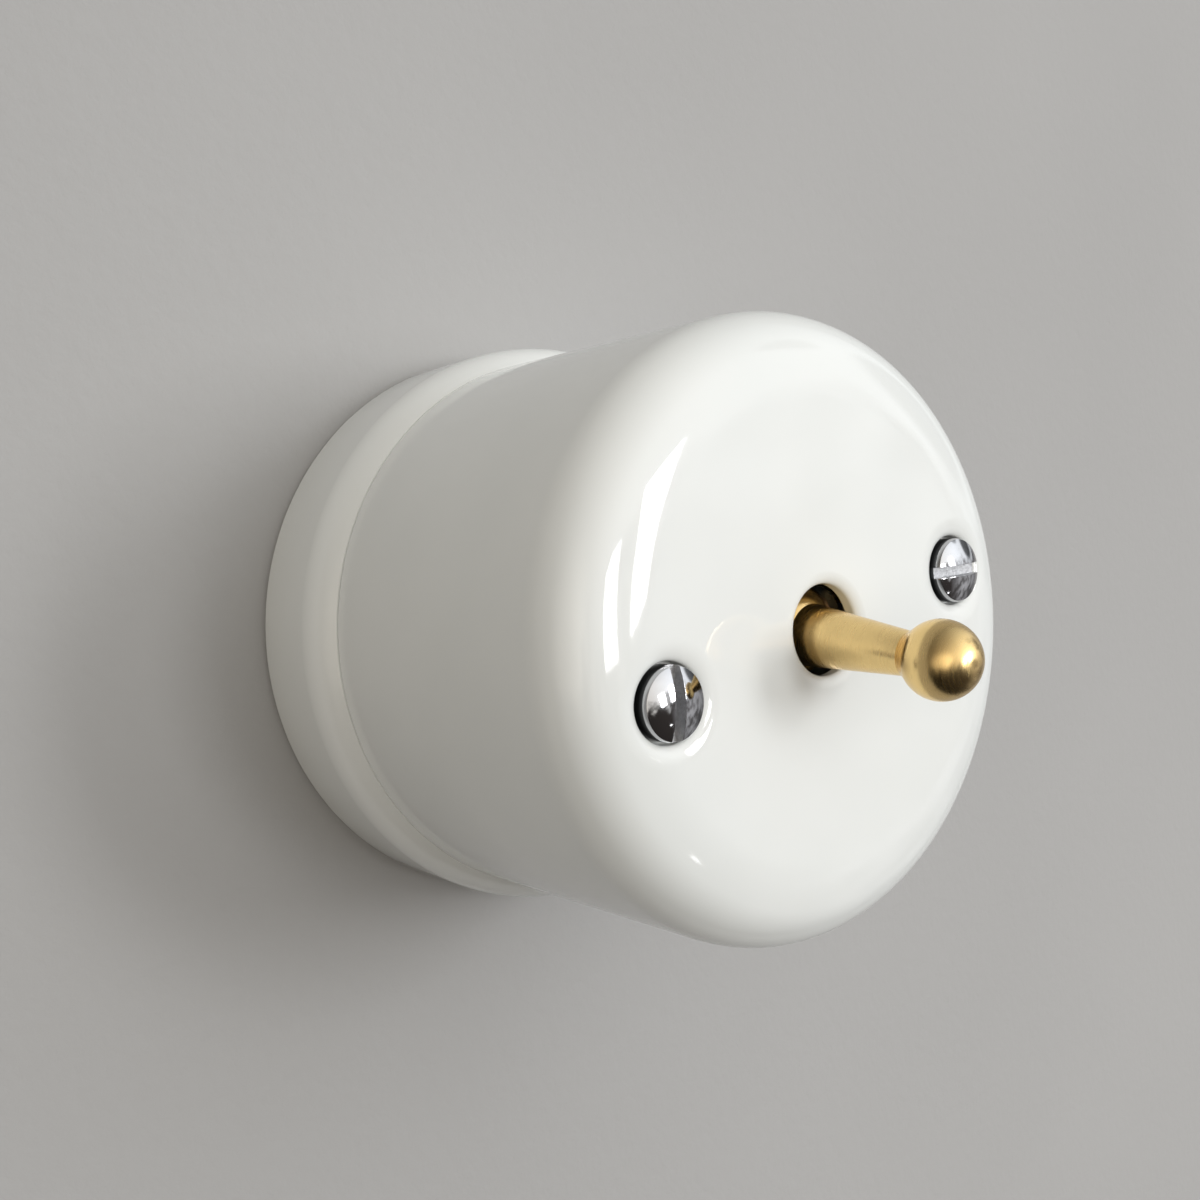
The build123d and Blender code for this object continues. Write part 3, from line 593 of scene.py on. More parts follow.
def polished_chrome(finishes, side_top):
    """Polished chrome with hairline scratches and a slight haze, with painted shade that darkens the head's side
    down in the recess.
    """
    material, tree, place = new_material("polished_chrome")
    haze = noise(tree, place, scale=900.0, detail=3.0)
    height = add(tree, "ShaderNodeSeparateXYZ", {0: place}).outputs["Y"]
    # Painted shade: below the top of the head's side the chrome turns nearly black, standing in for the shade of
    # the narrow recess.
    recess_shade_mask = between(tree, height, low=-side_top, high=0.12 * MM - side_top)
    unshaded_chrome = mixed(tree, haze, finishes.chrome, shaded(finishes.chrome, 0.9))
    tone = mixed(tree, recess_shade_mask, unshaded_chrome, shaded(finishes.chrome, 0.12))
    lines = noise(tree, place, scale=6000.0, detail=2.0, stretch=(14.0, 1.0, 1.0), turn=(0.3, 0.4, 0.9))
    dents = noise(tree, place, scale=240.0, detail=1.0)
    slope = bumped(tree, (dents, 0.03 * MM), (lines, 0.0006 * MM))
    rough = between(tree, haze, low=0.3, high=0.8, start=0.05, end=0.11)
    surface(tree, base_color=tone, metallic=1.0, roughness=rough, normal=slope)
    return material


def milled_slot(finishes):
    """Cut wall of a slot: duller and darker, with cutter marks across it."""
    material, tree, place = new_material("milled_slot")
    marks = noise(tree, place, scale=2600.0, detail=4.0, roughness=0.7)
    tone = mixed(tree, between(tree, marks, low=0.35, high=0.7), shaded(finishes.chrome, 0.75),
                 shaded(finishes.chrome, 1.2))
    rough = between(tree, marks, low=0.3, high=0.7, start=0.3, end=0.55)
    surface(tree, base_color=tone, metallic=1.0, roughness=rough, normal=bumped(tree, (marks, 0.08 * MM)))
    return material


def metal(name, shade_of, roughness, grain=3000.0, depth=0.004 * MM, tarnish=0.18, stretch=None):
    """Plain worked metal: tarnished in soft patches, with its own grain."""
    material, tree, place = new_material(name)
    patches = noise(tree, place, scale=260.0, detail=4.0, roughness=0.6)
    lines = noise(tree, place, scale=grain, detail=3.0, roughness=0.6, stretch=stretch)
    worn = between(tree, patches, low=0.35, high=0.75)
    tone = mixed(tree, worn, shade_of, shaded(shade_of, 1.0 - tarnish))
    surface(tree, base_color=tone, metallic=1.0,
            roughness=between(tree, lines, low=0.3, high=0.7, start=roughness * 0.8, end=roughness * 1.25),
            normal=bumped(tree, (lines, depth)))
    return material


def turned_brass(finishes, lever):
    """Satin brass turned on a lathe: fine rings round the lever's axis, which draw the highlights out."""
    material, tree, place = new_material("turned_brass")
    axis = (0, -cos(lever.tilt), -sin(lever.tilt))
    pivot = (0, -lever.pivot_height, 0)
    centred = add(tree, "ShaderNodeMapping",
                  {"Vector": place, "Location": pivot, "Rotation": (lever.tilt, 0, 0)},
                  vector_type="TEXTURE").outputs[0]
    rings = noise(tree, centred, scale=5200.0, detail=3.0, roughness=0.6, stretch=(12.0, 1.0, 12.0))
    patches = noise(tree, place, scale=330.0, detail=4.0, roughness=0.6)
    worn = between(tree, patches, low=0.35, high=0.75)
    tone = mixed(tree, worn, finishes.brass, shaded(finishes.brass, 0.86))
    arm = add(tree, "ShaderNodeVectorMath", {0: place, 1: pivot}, operation="SUBTRACT")
    round_axis = add(tree, "ShaderNodeVectorMath", {0: axis, 1: arm.outputs[0]}, operation="CROSS_PRODUCT")
    groove = add(tree, "ShaderNodeVectorTransform", {"Vector": round_axis.outputs[0]},
                 vector_type="VECTOR", convert_from="OBJECT", convert_to="WORLD")
    rough = between(tree, rings, low=0.3, high=0.7, start=0.2, end=0.3)
    slope = bumped(tree, (patches, 0.006 * MM), (rings, 0.0009 * MM))
    surface(tree, base_color=tone, metallic=1.0, roughness=rough, anisotropic=0.6,
            tangent=groove.outputs[0], normal=slope)
    return material


def phenolic(finishes):
    """Dark phenolic moulding with flecks of filler and a dull pressed skin."""
    material, tree, place = new_material("phenolic_moulding")
    flecks = between(tree, noise(tree, place, scale=1500.0, detail=4.0, roughness=0.7), low=0.52, high=0.7)
    tone = mixed(tree, flecks, finishes.moulding, finishes.moulding_fleck)
    skin = noise(tree, place, scale=2400.0, detail=2.0)
    surface(tree, base_color=tone, roughness=between(tree, skin, low=0.3, high=0.7, start=0.3, end=0.42),
            normal=bumped(tree, (skin, 0.004 * MM)))
    return material


def slot_finishes(finishes):
    """Material of each of the record's slots that a CAD node keeps."""
    return {
        "inner_brass": metal("machined_brass", finishes.inner_brass, 0.26),
        "bronze_washer": metal("stamped_bronze", finishes.bronze, 0.34),
        "sheet_steel": metal("nickelled_strip", finishes.nickel, 0.3, stretch=(1.0, 8.0, 1.0)),
        "pin_steel": metal("ground_steel", finishes.steel, 0.2, stretch=(0.1, 1.0, 1.0)),
        "contact_silver": metal("contact_silver", finishes.silver, 0.22),
        "moulding": phenolic(finishes),
    }


# Rings


class Shell:
    """Points and faces of a piece, gathered ring by ring."""

    def __init__(self):
        self.points, self.faces, self.slopes = [], [], {}

    def ring(self, x, radius, height, count):
        """Ring about a point on the x axis; its height is a function of the distance from the axis."""
        first = len(self.points)
        for step in range(count):
            around = 2 * pi * step / count
            across, up = x + radius * cos(around), radius * sin(around)
            self.points.append(Vector((across, up, height(hypot(across, up)))))
        return list(range(first, len(self.points)))

    def join(self, *rings):
        """Faces between rings of the same count, one after the other."""
        for one, two in zip(rings, rings[1:]):
            count = len(one)
            for here in range(count):
                after = (here + 1) % count
                self.faces.append((one[here], one[after], two[after], two[here]))

    def plate(self, outer, holes, spots):
        """Triangles between an outer ring and round holes, given as (ring, x, radius)."""
        rings = [outer] + [ring for ring, _, _ in holes]
        order = [index for ring in rings for index in ring] + spots
        edges, start = [], 0
        for ring in rings:
            edges += [(start + i, start + (i + 1) % len(ring)) for i in range(len(ring))]
            start += len(ring)
        flat = [self.points[index].xy / MM for index in order]
        _, _, triangles, origins, _, _ = delaunay_2d_cdt(flat, edges, [], 0, 1e-6)
        for triangle in triangles:
            corners = [origins[corner][0] for corner in triangle]
            middle = sum((flat[corner] for corner in corners), Vector((0, 0))) / 3 * MM
            # A triangle counts as outside a hole when its middle is past the chords of the hole's ring.
            if all((middle - Vector((x, 0))).length > radius * (1 - 0.8 * (pi / len(ring)) ** 2)
                   for ring, x, radius in holes):
                self.faces.append(tuple(order[corner] for corner in corners))

    def spread(self, height, radii, gap, holes):
        """Loose points in rings, clear of the holes, given as (ring, x, radius)."""
        spots = []
        for radius in radii:
            for index in self.ring(0, radius, height, max(24, round(2 * pi * radius / gap))):
                spot = self.points[index].xy
                if all((spot - Vector((x, 0))).length > hole + gap / 2 for _, x, hole in holes):
                    spots.append(index)
        return spots


def steps_between(start, end, gap):
    """Even values inside a span, about a gap apart."""
    count = max(1, round((end - start) / gap))
    return [start + (end - start) * (step + 0.5) / count for step in range(count)]


# The cover


def cover_shell(base, cover, screws):
    """Porcelain cover: one skin over the crown, through the holes and round the inside."""
    shell = Shell()
    foot = seat_radius(base)
    turn, draft = cover.rim_turn, cover.draft
    crown_reach = cover.crown_round * tan((pi / 2 - turn) / 2)
    reach = crown_reach + cover.rim_round * tan((turn - draft) / 2)
    rim_height = cover.height - reach * cos(turn)
    rim = foot - (rim_height - base.seam_height) * tan(draft)
    crown = rim - reach * sin(turn)
    flat = crown - crown_reach
    inner_face = cover.height - cover.face_thickness
    inner_foot = foot - cover.wall
    inner_corner = inner_foot - (inner_face - base.seam_height) * tan(draft)
    inner_flat = inner_corner - cover.inner_round * tan((pi / 2 - draft) / 2)
    edge = cover.recess_mouth
    flare = 0.6 * MM
    margin = 0.3 * MM
    join = screws.place + max(cover.recess_radius + edge, cover.boss_radius + flare) + margin

    def level(height, round_radius, start, distance):
        """Height of a flat that turns down in a round, at a distance from the axis."""
        over = max(distance - start, 0)
        return height - round_radius + sqrt(round_radius ** 2 - over ** 2)

    def face(distance):
        """Height of the outer face."""
        return level(cover.height, cover.crown_round, flat, distance)

    def ceiling(distance):
        """Height of the inner face."""
        return level(inner_face, cover.inner_round, inner_flat, distance)

    def mouth(x, radius, width, depth, surface_height):
        """Rings of a soft mouth, from the surface into the hole."""
        rings = []
        for step in range(MOUTH_STEPS + 1):
            lean = pi / 2 * step / MOUTH_STEPS
            drop = depth * (1 - cos(lean))
            rings.append(shell.ring(x, radius + width * (1 - sin(lean)), lambda d: surface_height(d) - drop,
                                    HOLE_SEGMENTS))
        return rings

    def hole(x, corners):
        """Rings down a hole, through its rounded corners."""
        return [shell.ring(x, p.x, lambda d: p.y, HOLE_SEGMENTS) for p in rounded(corners)]

    outer_holes, inner_holes = [], []
    recess_floor = cover.height - cover.recess_depth
    for x in (-screws.place, screws.place):
        top = mouth(x, cover.recess_radius, edge, cover.recess_mouth_depth, face)
        down = hole(x, [(cover.recess_radius, cover.height - cover.recess_mouth_depth - BLUNT_EDGE, 0),
                        (cover.recess_radius, recess_floor, CRISP_EDGE),
                        (cover.clearance, recess_floor, CRISP_EDGE),
                        (cover.clearance, cover.boss_foot, SOFT_EDGE),
                        (cover.boss_radius, cover.boss_foot, cover.foot_edge),
                        (cover.boss_radius, cover.boss_foot + 3 * cover.foot_edge, 0)])[:-1]
        low = mouth(x, cover.boss_radius, flare, flare, ceiling)[::-1]
        shell.join(*top, *down, *low)
        outer_holes.append((top[0], x, cover.recess_radius + edge))
        inner_holes.append((low[-1], x, cover.boss_radius + flare))

    pocket = cover.height - cover.pocket_face
    top = mouth(0, cover.lever_hole, cover.lever_mouth, cover.lever_mouth_depth, face)
    down = hole(0, [(cover.lever_hole, cover.height - cover.lever_mouth_depth - SOFT_EDGE, 0),
                    (cover.lever_hole, pocket, SOFT_EDGE),
                    (cover.pocket_radius, pocket, BLUNT_EDGE),
                    (cover.pocket_radius, inner_face, BLUNT_EDGE),
                    (cover.pocket_radius + MM, inner_face, 0)])
    shell.join(*top, *down)
    outer_holes.append((top[0], 0, cover.lever_hole + cover.lever_mouth))
    inner_holes.append((down[-1], 0, cover.pocket_radius + MM))

    outline = rounded([(0, cover.height, 0), (crown, cover.height, cover.crown_round),
                       (rim, rim_height, cover.rim_round), (foot, base.seam_height, cover.foot_edge),
                       (inner_foot, base.seam_height, cover.foot_edge),
                       (inner_corner, inner_face, cover.inner_round), (0, inner_face, 0)])
    sides = [p for p in outline if p.x > join + 0.1 * MM]
    first = shell.ring(0, join, face, ROUND_SEGMENTS)
    last = shell.ring(0, join, ceiling, ROUND_SEGMENTS)
    shell.join(first, *(shell.ring(0, p.x, lambda d: p.y, ROUND_SEGMENTS) for p in sides), last)

    middle = cover.lever_hole + cover.lever_mouth
    bend = flat - MM
    spots = shell.spread(face, steps_between(middle, bend, gap=1.3 * MM), gap=1.3 * MM,
                         holes=outer_holes)
    spots += shell.spread(face, steps_between(bend, join, gap=0.6 * MM), gap=0.8 * MM,
                          holes=outer_holes)
    skin = first + spots + [index for ring, _, _ in outer_holes for index in ring]
    for index in skin:
        point = shell.points[index]
        over = max(hypot(point.x, point.y) - flat, 0) / cover.crown_round
        shell.slopes[index] = Vector((*(point.xy.normalized() * over), sqrt(1 - over ** 2)))
    shell.plate(first, outer_holes, spots)
    spots = shell.spread(ceiling, steps_between(cover.pocket_radius + MM, inner_flat, gap=1.6 * MM),
                         gap=1.6 * MM, holes=inner_holes)
    spots += shell.spread(ceiling, steps_between(inner_flat, join, gap=0.7 * MM), gap=MM,
                          holes=inner_holes)
    shell.plate(last, inner_holes, spots)
    return shell


def shell_piece(name, shell, material):
    """Mesh of a shell, standing on the wall, with the exact slopes where the shell gives them."""
    used = sorted({index for face in shell.faces for index in face})
    number = {index: place for place, index in enumerate(used)}
    piece = new_piece(name, [shell.points[index] for index in used], (),
                      [tuple(number[index] for index in face) for face in shell.faces])
    face_out(piece, merge=False)
    piece.data.transform(ON_WALL)
    piece.data.polygons.foreach_set("use_smooth", [True] * len(piece.data.polygons))
    slopes = [vertex.normal.copy() for vertex in piece.data.vertices]
    for index, slope in shell.slopes.items():
        slopes[number[index]] = ON_WALL.to_3x3() @ slope
    piece.data.normals_split_custom_set_from_vertices(slopes)
    return dress(piece, material)


# The base


def tool(name, x, y, corners, segments=HOLE_SEGMENTS):
    """Cutter turned about a line through the base."""
    return turned(name, rounded(corners), segments, None, Matrix.Translation((x, y, 0)))


def soft_mouth(radius, edge):
    """Corners of a cutter that opens in a rounded mouth at the back face."""
    centre = radius + edge
    turns = [radians(270 - 90 * step / EDGE_STEPS) for step in range(EDGE_STEPS + 1)]
    return [(0, -MM, 0), (centre + HAIR, -MM, 0)] + [
        (centre + edge * cos(a), edge + edge * sin(a) - HAIR, 0) for a in turns]


def base_outline(base):
    """Outline of the base before its cavity and holes."""
    shoulder = base.radius - base.shoulder_round
    end = asin((base.seam_height - base.side_height) / base.shoulder_round)
    turns = [end * step / SHOULDER_STEPS for step in range(SHOULDER_STEPS + 1)]
    arc_points = [(shoulder + base.shoulder_round * cos(turn),
                   base.side_height + base.shoulder_round * sin(turn), 0) for turn in turns]
    return rounded([(0, 0, 0), (base.radius, 0, base.foot_round)] + arc_points
                   + [(base.spigot_radius, base.seam_height, SOFT_EDGE),
                      (base.spigot_radius, base.spigot_height, BLUNT_EDGE), (0, base.spigot_height, 0)])


def base_piece(base, screws, glaze, dry):
    """Porcelain base: a dish with a rounded shoulder, its bosses and the holes in its floor."""
    over = base.spigot_height + 2 * MM
    through = base.floor_height + MM
    piece = turned("porcelain_base", base_outline(base), ROUND_SEGMENTS, glaze)
    cavity = turned("cavity", rounded([(0, base.floor_height, 0),
                                       (base.cavity_radius, base.floor_height, base.cavity_round),
                                       (base.cavity_radius, over, 0), (0, over, 0)]), ROUND_SEGMENTS, None)
    bosses = [tool("boss", x, 0, [(0, 0, 0), (base.boss_radius, 0, 0), (base.boss_radius, over + MM, 0),
                                  (0, over + MM, 0)]) for x in (-screws.place, screws.place)]
    cut(cavity, *bosses)
    cut(piece, cavity)
    diagonal = base.hole_circle * sqrt(0.5)
    edge = base.mouth_round
    recess = base.back_recess
    counterbore = base.floor_height - base.wall_head_depth
    for side in (1, -1):
        cuts = [
            tool("pillar_hole", side * screws.place, 0,
                 soft_mouth(base.pillar_recess, edge)
                 + [(base.pillar_recess, recess, SOFT_EDGE), (base.m4_clearance, recess, CRISP_EDGE),
                    (base.m4_clearance, over, 0), (0, over, 0)]),
            tool("wall_hole", -side * diagonal, side * diagonal,
                 soft_mouth(base.m4_clearance, edge)
                 + [(base.m4_clearance, counterbore, CRISP_EDGE),
                    (base.wall_head, counterbore, CRISP_EDGE),
                    (base.wall_head, through, 0), (0, through, 0)]),
            tool("wire_entry", side * diagonal, side * diagonal,
                 soft_mouth(base.wire_entry, edge) + [(base.wire_entry, through, 0), (0, through, 0)]),
            tool("body_hole", side * screws.body_x, -side * screws.body_y,
                 soft_mouth(base.body_recess, edge)
                 + [(base.body_recess, recess, SOFT_EDGE), (base.m3_clearance, recess, CRISP_EDGE),
                    (base.m3_clearance, through, 0), (0, through, 0)]),
        ]
        cut(piece, *cuts)
    dress(piece, glaze, dry)
    for face in piece.data.polygons:
        face.material_index = 1 if face.normal.z < -0.999 and abs(face.center.z) < HAIR else 0
    piece.data.transform(ON_WALL)
    return shade(piece)


# Screws, lever and spring


def threaded(piece, shank, pitch, start, end):
    """Work a thread into the rings of a shank, which are a quarter of a pitch apart."""
    depth = 0.54 * pitch
    for vertex in piece.data.vertices:
        x, y, z = vertex.co
        if end < z < start and abs(hypot(x, y) - shank) < HAIR:
            phase = (z / pitch - atan2(y, x) / (2 * pi)) % 1.0
            radius = shank - depth * abs(2 * phase - 1)
            vertex.co = (x * radius / shank, y * radius / shank, z)


def screw(name, head, side, dome, edge, edge_height, slot_width, slot_depth, shank, pitch, size, burnish,
          segments):
    """Slotted screw along z with its seat at z = 0 and its slot along x."""
    plain = 0.6 * MM
    rim_round = 0.06 * MM
    fine = 0.1 * MM
    top = side + dome
    rim = head - edge
    surface_points = [(0, top, 0)]
    if dome:
        crown = (rim ** 2 + dome ** 2) / (2 * dome)
        leans = [asin(rim / crown) * step / DOME_STEPS for step in range(DOME_STEPS)]
        surface_points = [(crown * sin(lean), top - crown + crown * cos(lean), 0) for lean in leans]
    rings = int((size - shank - plain) / pitch * 4)
    threads = [(shank, -plain - pitch * step / 4, 0) for step in range(rings)]
    outline = rounded(surface_points + [(rim, side, rim_round), (head, side - edge_height, rim_round),
                                        (head, 0, fine), (shank, 0, 0.15 * MM)] + threads
                      + [(shank, shank - size, 0), (shank / 2, -size, fine), (0, -size, 0)])
    piece = turned(name, outline, segments, None)
    reach = head + MM
    half = slot_width / 2
    low, high = top - slot_depth, top + MM
    corners = [(x, y, z) for x in (-reach, reach) for y in (-half, half) for z in (low, high)]
    slot = face_out(new_piece("slot", corners, (), [(0, 1, 3, 2), (4, 5, 7, 6), (0, 1, 5, 4), (2, 3, 7, 6),
                                                    (0, 2, 6, 4), (1, 3, 7, 5)]))
    cut(piece, slot)
    soften = piece.modifiers.new("Burnish", "BEVEL")
    soften.width = burnish
    soften.segments = 2
    soften.limit_method = "ANGLE"
    soften.angle_limit = radians(50)
    settle(piece)
    threaded(piece, shank, pitch, start=-0.8 * MM, end=shank - size + fine)
    shade(piece)
    milled = piece.data.attributes.new("milled", "BOOLEAN", "FACE")
    upright = 0.97
    milled.data.foreach_set("value", [
        abs(face.center.y) < half + HAIR and face.center.z > max(low - HAIR, 0)
        and (abs(face.normal.y) > upright or face.center.z < low + HAIR)
        for face in piece.data.polygons])
    return piece


def large_screw(screws, name, side, dome, size, segments=HOLE_SEGMENTS):
    """M4 screw."""
    return screw(name, screws.head_radius, side, dome, screws.edge, screws.edge_height, screws.slot_width,
                 screws.slot_depth, screws.shank_radius, screws.pitch, size, screws.burnish, segments)


def small_screw(screws, name, size):
    """M3 screw."""
    return screw(name, screws.small_head_radius, screws.small_head_side, 0, screws.small_edge,
                 screws.small_edge, screws.small_slot_width, screws.small_slot_depth,
                 screws.small_shank_radius, screws.small_pitch, size, screws.burnish, SMALL_SEGMENTS)


def screw_group(name, pattern, places, finish, slot_finish):
    """One mesh of equal screws at their places, given as (x, y, seat height, slot angle, turned over)."""
    points, angles = [], []
    for x, y, seat, slot_angle, over in places:
        points.append(ON_WALL @ Vector((x, y, seat)))
        spin = Matrix.Rotation(pi, 4, "X") if over else Matrix.Rotation(slot_angle, 4, "Z")
        angles += (ON_WALL @ spin).to_euler()
    group = new_piece(name, points)
    group.data.attributes.new("angles", "FLOAT_VECTOR", "POINT").data.foreach_set("vector", angles)
    pattern.hide_render = True
    grow(group, bpy.data.node_groups["Screws on points"], screw=pattern, finish=finish,
         slot_finish=slot_finish)
    bpy.data.objects.remove(pattern)
    return group


def plated_screws(node, pattern, places, finish):
    """Group of plain plated screws in the place of their CAD node."""
    fit(screw_group(f"threaded_{node}", pattern, places, finish, finish), "root", "steel_screw", node)


def lever_outline(lever):
    """Outline of the lever along its axis, from the spigot of its tail to the top of the knob."""
    ball, knob = lever.ball_radius, lever.knob_radius
    ball_root = asin(sqrt(1 - (lever.root_radius / ball) ** 2))
    ball_tail = asin(sqrt(1 - (lever.tail_radius / ball) ** 2))
    knob_foot = asin(sqrt(1 - (lever.flare_radius / knob) ** 2))
    neck = lever.neck_reach
    groove_width, groove_depth = 0.06 * MM, 0.08 * MM
    fillet = 0.25 * MM
    return rounded([
        (0, -lever.spigot_reach, 0), (lever.spigot_radius, -lever.spigot_reach, CRISP_EDGE),
        (lever.spigot_radius, -lever.tail_reach, 0), (lever.tail_radius, -lever.tail_reach, fillet),
        *arc(ball, 0, -ball_tail, ball_root),
        (lever.neck_radius + 0.02 * MM, neck - groove_width, 0),
        (lever.neck_radius - groove_depth, neck, 0),
        (lever.neck_radius + lever.neck_step, neck + 0.05 * MM, 0),
        *arc(knob, lever.knob_reach, -knob_foot, pi / 2)])


def lever_piece(lever, finish):
    """Turned brass lever with the two flats of its ball and the bore of its pin."""
    piece = turned("brass_lever", lever_outline(lever), FINE_SEGMENTS, finish)
    ball = lever.ball_radius + MM
    deep = 2 * MM
    cuts = []
    for side in (1, -1):
        outward = Matrix.Rotation(side * pi / 2, 4, "Y")
        cuts.append(turned("flat", [(0, 0), (ball, 0), (ball, deep), (0, deep)], SMALL_SEGMENTS, None,
                           Matrix.Translation((side * lever.ball_flat, 0, 0)) @ outward))
    cuts.append(turned("bore", [(0, -ball), (lever.pin_bore, -ball), (lever.pin_bore, ball), (0, ball)],
                       SMALL_SEGMENTS, None, Matrix.Rotation(pi / 2, 4, "Y")))
    cut(piece, *cuts)
    piece.data.transform(ON_WALL @ Matrix.Translation((0, 0, lever.pivot_height))
                         @ Matrix.Rotation(lever.tilt, 4, "X"))
    return shade(dress(piece, finish), sharp=radians(12))


def spring_piece(spring, finish):
    """Coil spring between the cap on the lever's tail and the seat on the rocker."""
    low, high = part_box("toggle_spring")
    outer = spring.mean_radius + spring.wire_radius
    lean = atan2((high.z - low.z) - 2 * outer, high.y - low.y)
    foot = Vector((0, high.y - spring.play, low.z + outer))
    head = Vector((0, low.y + spring.play, high.z - outer))
    piece = new_piece("coil_spring", [])
    along = head - foot
    grow(piece, bpy.data.node_groups["Compression spring"], turns=spring.turns, height=along.length,
         mean_radius=spring.mean_radius, wire_radius=spring.wire_radius, place=foot,
         lean=(pi / 2 - lean, 0, 0), finish=finish)
    return face_out(piece), foot, head


# Stage


def softbox(name, place, aim, width, height, power):
    """Rectangular lamp that looks at a point."""
    data = bpy.data.lights.new(name, "AREA")
    data.shape = "RECTANGLE"
    data.size, data.size_y = width, height
    data.energy = power
    lamp = bpy.data.objects.new(name, data)
    bpy.context.scene.collection.objects.link(lamp)
    lamp.location = place
    lamp.rotation_euler = (Vector(aim) - Vector(place)).to_track_quat("-Z", "Y").to_euler()


def heading(azimuth, elevation):
    """Direction in front of the face: azimuth is to the right of the face's axis, both in degrees."""
    a, e = radians(azimuth), radians(elevation)
    return Vector((sin(a) * cos(e), -cos(a) * cos(e), sin(e)))


def window(name, azimuth, elevation, width, height, power):
    """Lamp in front of the face that looks at its middle."""
    place = FACE_CENTRE + heading(azimuth, elevation) * LAMP_DISTANCE
    softbox(name, place, FACE_CENTRE, width, height, power)


def patched(tree, lit, direction, azimuth, elevation, core, edge, strength):
    """Light of the room with a soft round patch made brighter or darker; all angles are in degrees."""
    close = add(tree, "ShaderNodeVectorMath", {0: direction, 1: heading(azimuth, elevation)},
                operation="DOT_PRODUCT").outputs["Value"]
    inside = between(tree, close, low=cos(radians(edge)), high=cos(radians(core)), kind="SMOOTHSTEP")
    return reckon(tree, "MULTIPLY", lit, between(tree, inside, low=0.0, high=1.0, start=1.0, end=strength))


def room(studio):
    """Soft room: brightest in front, dimmer on the left, overhead and below, with three soft patches."""
    world = bpy.data.worlds.new("soft_room")
    bpy.context.scene.world = world
    world.use_nodes = True
    tree = world.node_tree
    tree.nodes.clear()
    direction = add(tree, "ShaderNodeTexCoord").outputs["Generated"]
    across, ahead, height = add(tree, "ShaderNodeSeparateXYZ", {0: direction}).outputs
    clouds = noise(tree, direction, scale=4.0, detail=5.0, roughness=0.6)
    skyline = reckon(tree, "ADD", height, between(tree, clouds, low=0.0, high=1.0, start=-0.6, end=0.6))
    up = between(tree, skyline, low=-0.2, high=0.06)
    right = between(tree, across, low=-0.75, high=0.7)
    lit = between(tree, ahead, low=-0.95, high=0.0, start=2.05, end=0.72)
    lit = reckon(tree, "MULTIPLY", lit, between(tree, right, low=0.0, high=1.0, start=0.35, end=1.36))
    lit = reckon(tree, "MULTIPLY", lit, between(tree, height, low=0.3, high=0.95, start=1.0, end=0.45))
    lit = patched(tree, lit, direction, azimuth=74.0, elevation=4.0, core=7.0, edge=13.0, strength=0.15)
    lit = patched(tree, lit, direction, azimuth=57.0, elevation=22.0, core=4.0, edge=8.0, strength=0.4)
    lit = patched(tree, lit, direction, azimuth=-50.0, elevation=6.0, core=8.0, edge=36.0, strength=2.7)
    above = mixed(tree, right, studio.room_left, studio.room_right)
    things = noise(tree, direction, scale=7.0, detail=4.0, roughness=0.6)
    clutter = between(tree, things, low=0.42, high=0.58, start=0.2, end=1.0)
    low_right = reckon(tree, "MULTIPLY", between(tree, across, low=0.35, high=0.75), clutter)
    below = mixed(tree, low_right, studio.room_below, studio.room_things)
    tone = mixed(tree, up, below, above)
    sky = add(tree, "ShaderNodeBackground", {"Color": tone, "Strength": lit})
    add(tree, "ShaderNodeOutputWorld", {"Surface": sky.outputs[0]})


def studio_light(studio):
    """Two tall window lamps in front, a small low lamp, and a broad one behind for the views from there."""
    window("window_left", azimuth=11.0, elevation=-2.0, width=0.17, height=0.28, power=1.9)
    window("window_right", azimuth=28.8, elevation=-0.1, width=0.19, height=0.33, power=3.1)
    window("low_strip", azimuth=21.5, elevation=-34.5, width=0.035, height=0.03, power=0.027)
    softbox("behind", place=(0.5, 1.6, 0.7), aim=(0, 0, 0), width=1.2, height=1.2, power=12.0)
    room(studio)


def wall_material(studio):
    """Plain paint, seen from the front only, so that the back of the switch shows from behind."""
    material, tree, place = new_material("painted_wall")
    plaster = noise(tree, place, scale=420.0, detail=4.0, roughness=0.6)
    clouds = noise(tree, place, scale=9.0, detail=3.0)
    tone = mixed(tree, between(tree, clouds, low=0.3, high=0.7), studio.wall_shade,
                 shaded(studio.wall_shade, 0.95))
    paint = add(tree, "ShaderNodeBsdfPrincipled", {"Base Color": tone, "Roughness": 0.9,
                                                   "Normal": bumped(tree, (plaster, 0.12 * MM))})
    clear = add(tree, "ShaderNodeBsdfTransparent")
    behind = add(tree, "ShaderNodeNewGeometry").outputs["Backfacing"]
    sided = add(tree, "ShaderNodeMixShader", {0: behind, 1: paint.outputs[0], 2: clear.outputs[0]})
    add(tree, "ShaderNodeOutputMaterial", {"Surface": sided.outputs[0]})
    return material


def wall(studio):
    """Round wall with a hole behind the base."""
    shell = Shell()
    shell.join(*(shell.ring(0, radius, lambda d: -studio.wall_gap, HOLE_SEGMENTS)
                 for radius in (studio.wall_radius, studio.wall_ring, studio.wall_hole)))
    backdrop = new_piece("wall", shell.points, (), shell.faces)
    backdrop.data.transform(ON_WALL)
    dress(backdrop, wall_material(studio))


def camera(studio):
    """Camera at the photograph's viewing angle."""
    data = bpy.data.cameras.new("camera")
    data.lens = studio.lens
    data.sensor_width = SENSOR_WIDTH
    data.clip_start = 5 * MM
    eye = bpy.data.objects.new("camera", data)
    bpy.context.scene.collection.objects.link(eye)
    a, e, r = studio.azimuth, studio.elevation, studio.roll
    ahead = Vector((-sin(a) * cos(e), cos(a) * cos(e), -sin(e)))
    level = Vector((cos(a), sin(a), 0))
    above = level.cross(ahead)
    right = level * cos(r) - above * sin(r)
    top = above * cos(r) + level * sin(r)
    turn = Matrix((right, top, -ahead)).transposed().to_4x4()
    eye.matrix_world = Matrix.Translation(studio.camera_place) @ turn
    bpy.context.scene.camera = eye
    bpy.context.scene.view_settings.view_transform = "Standard"


# Operators


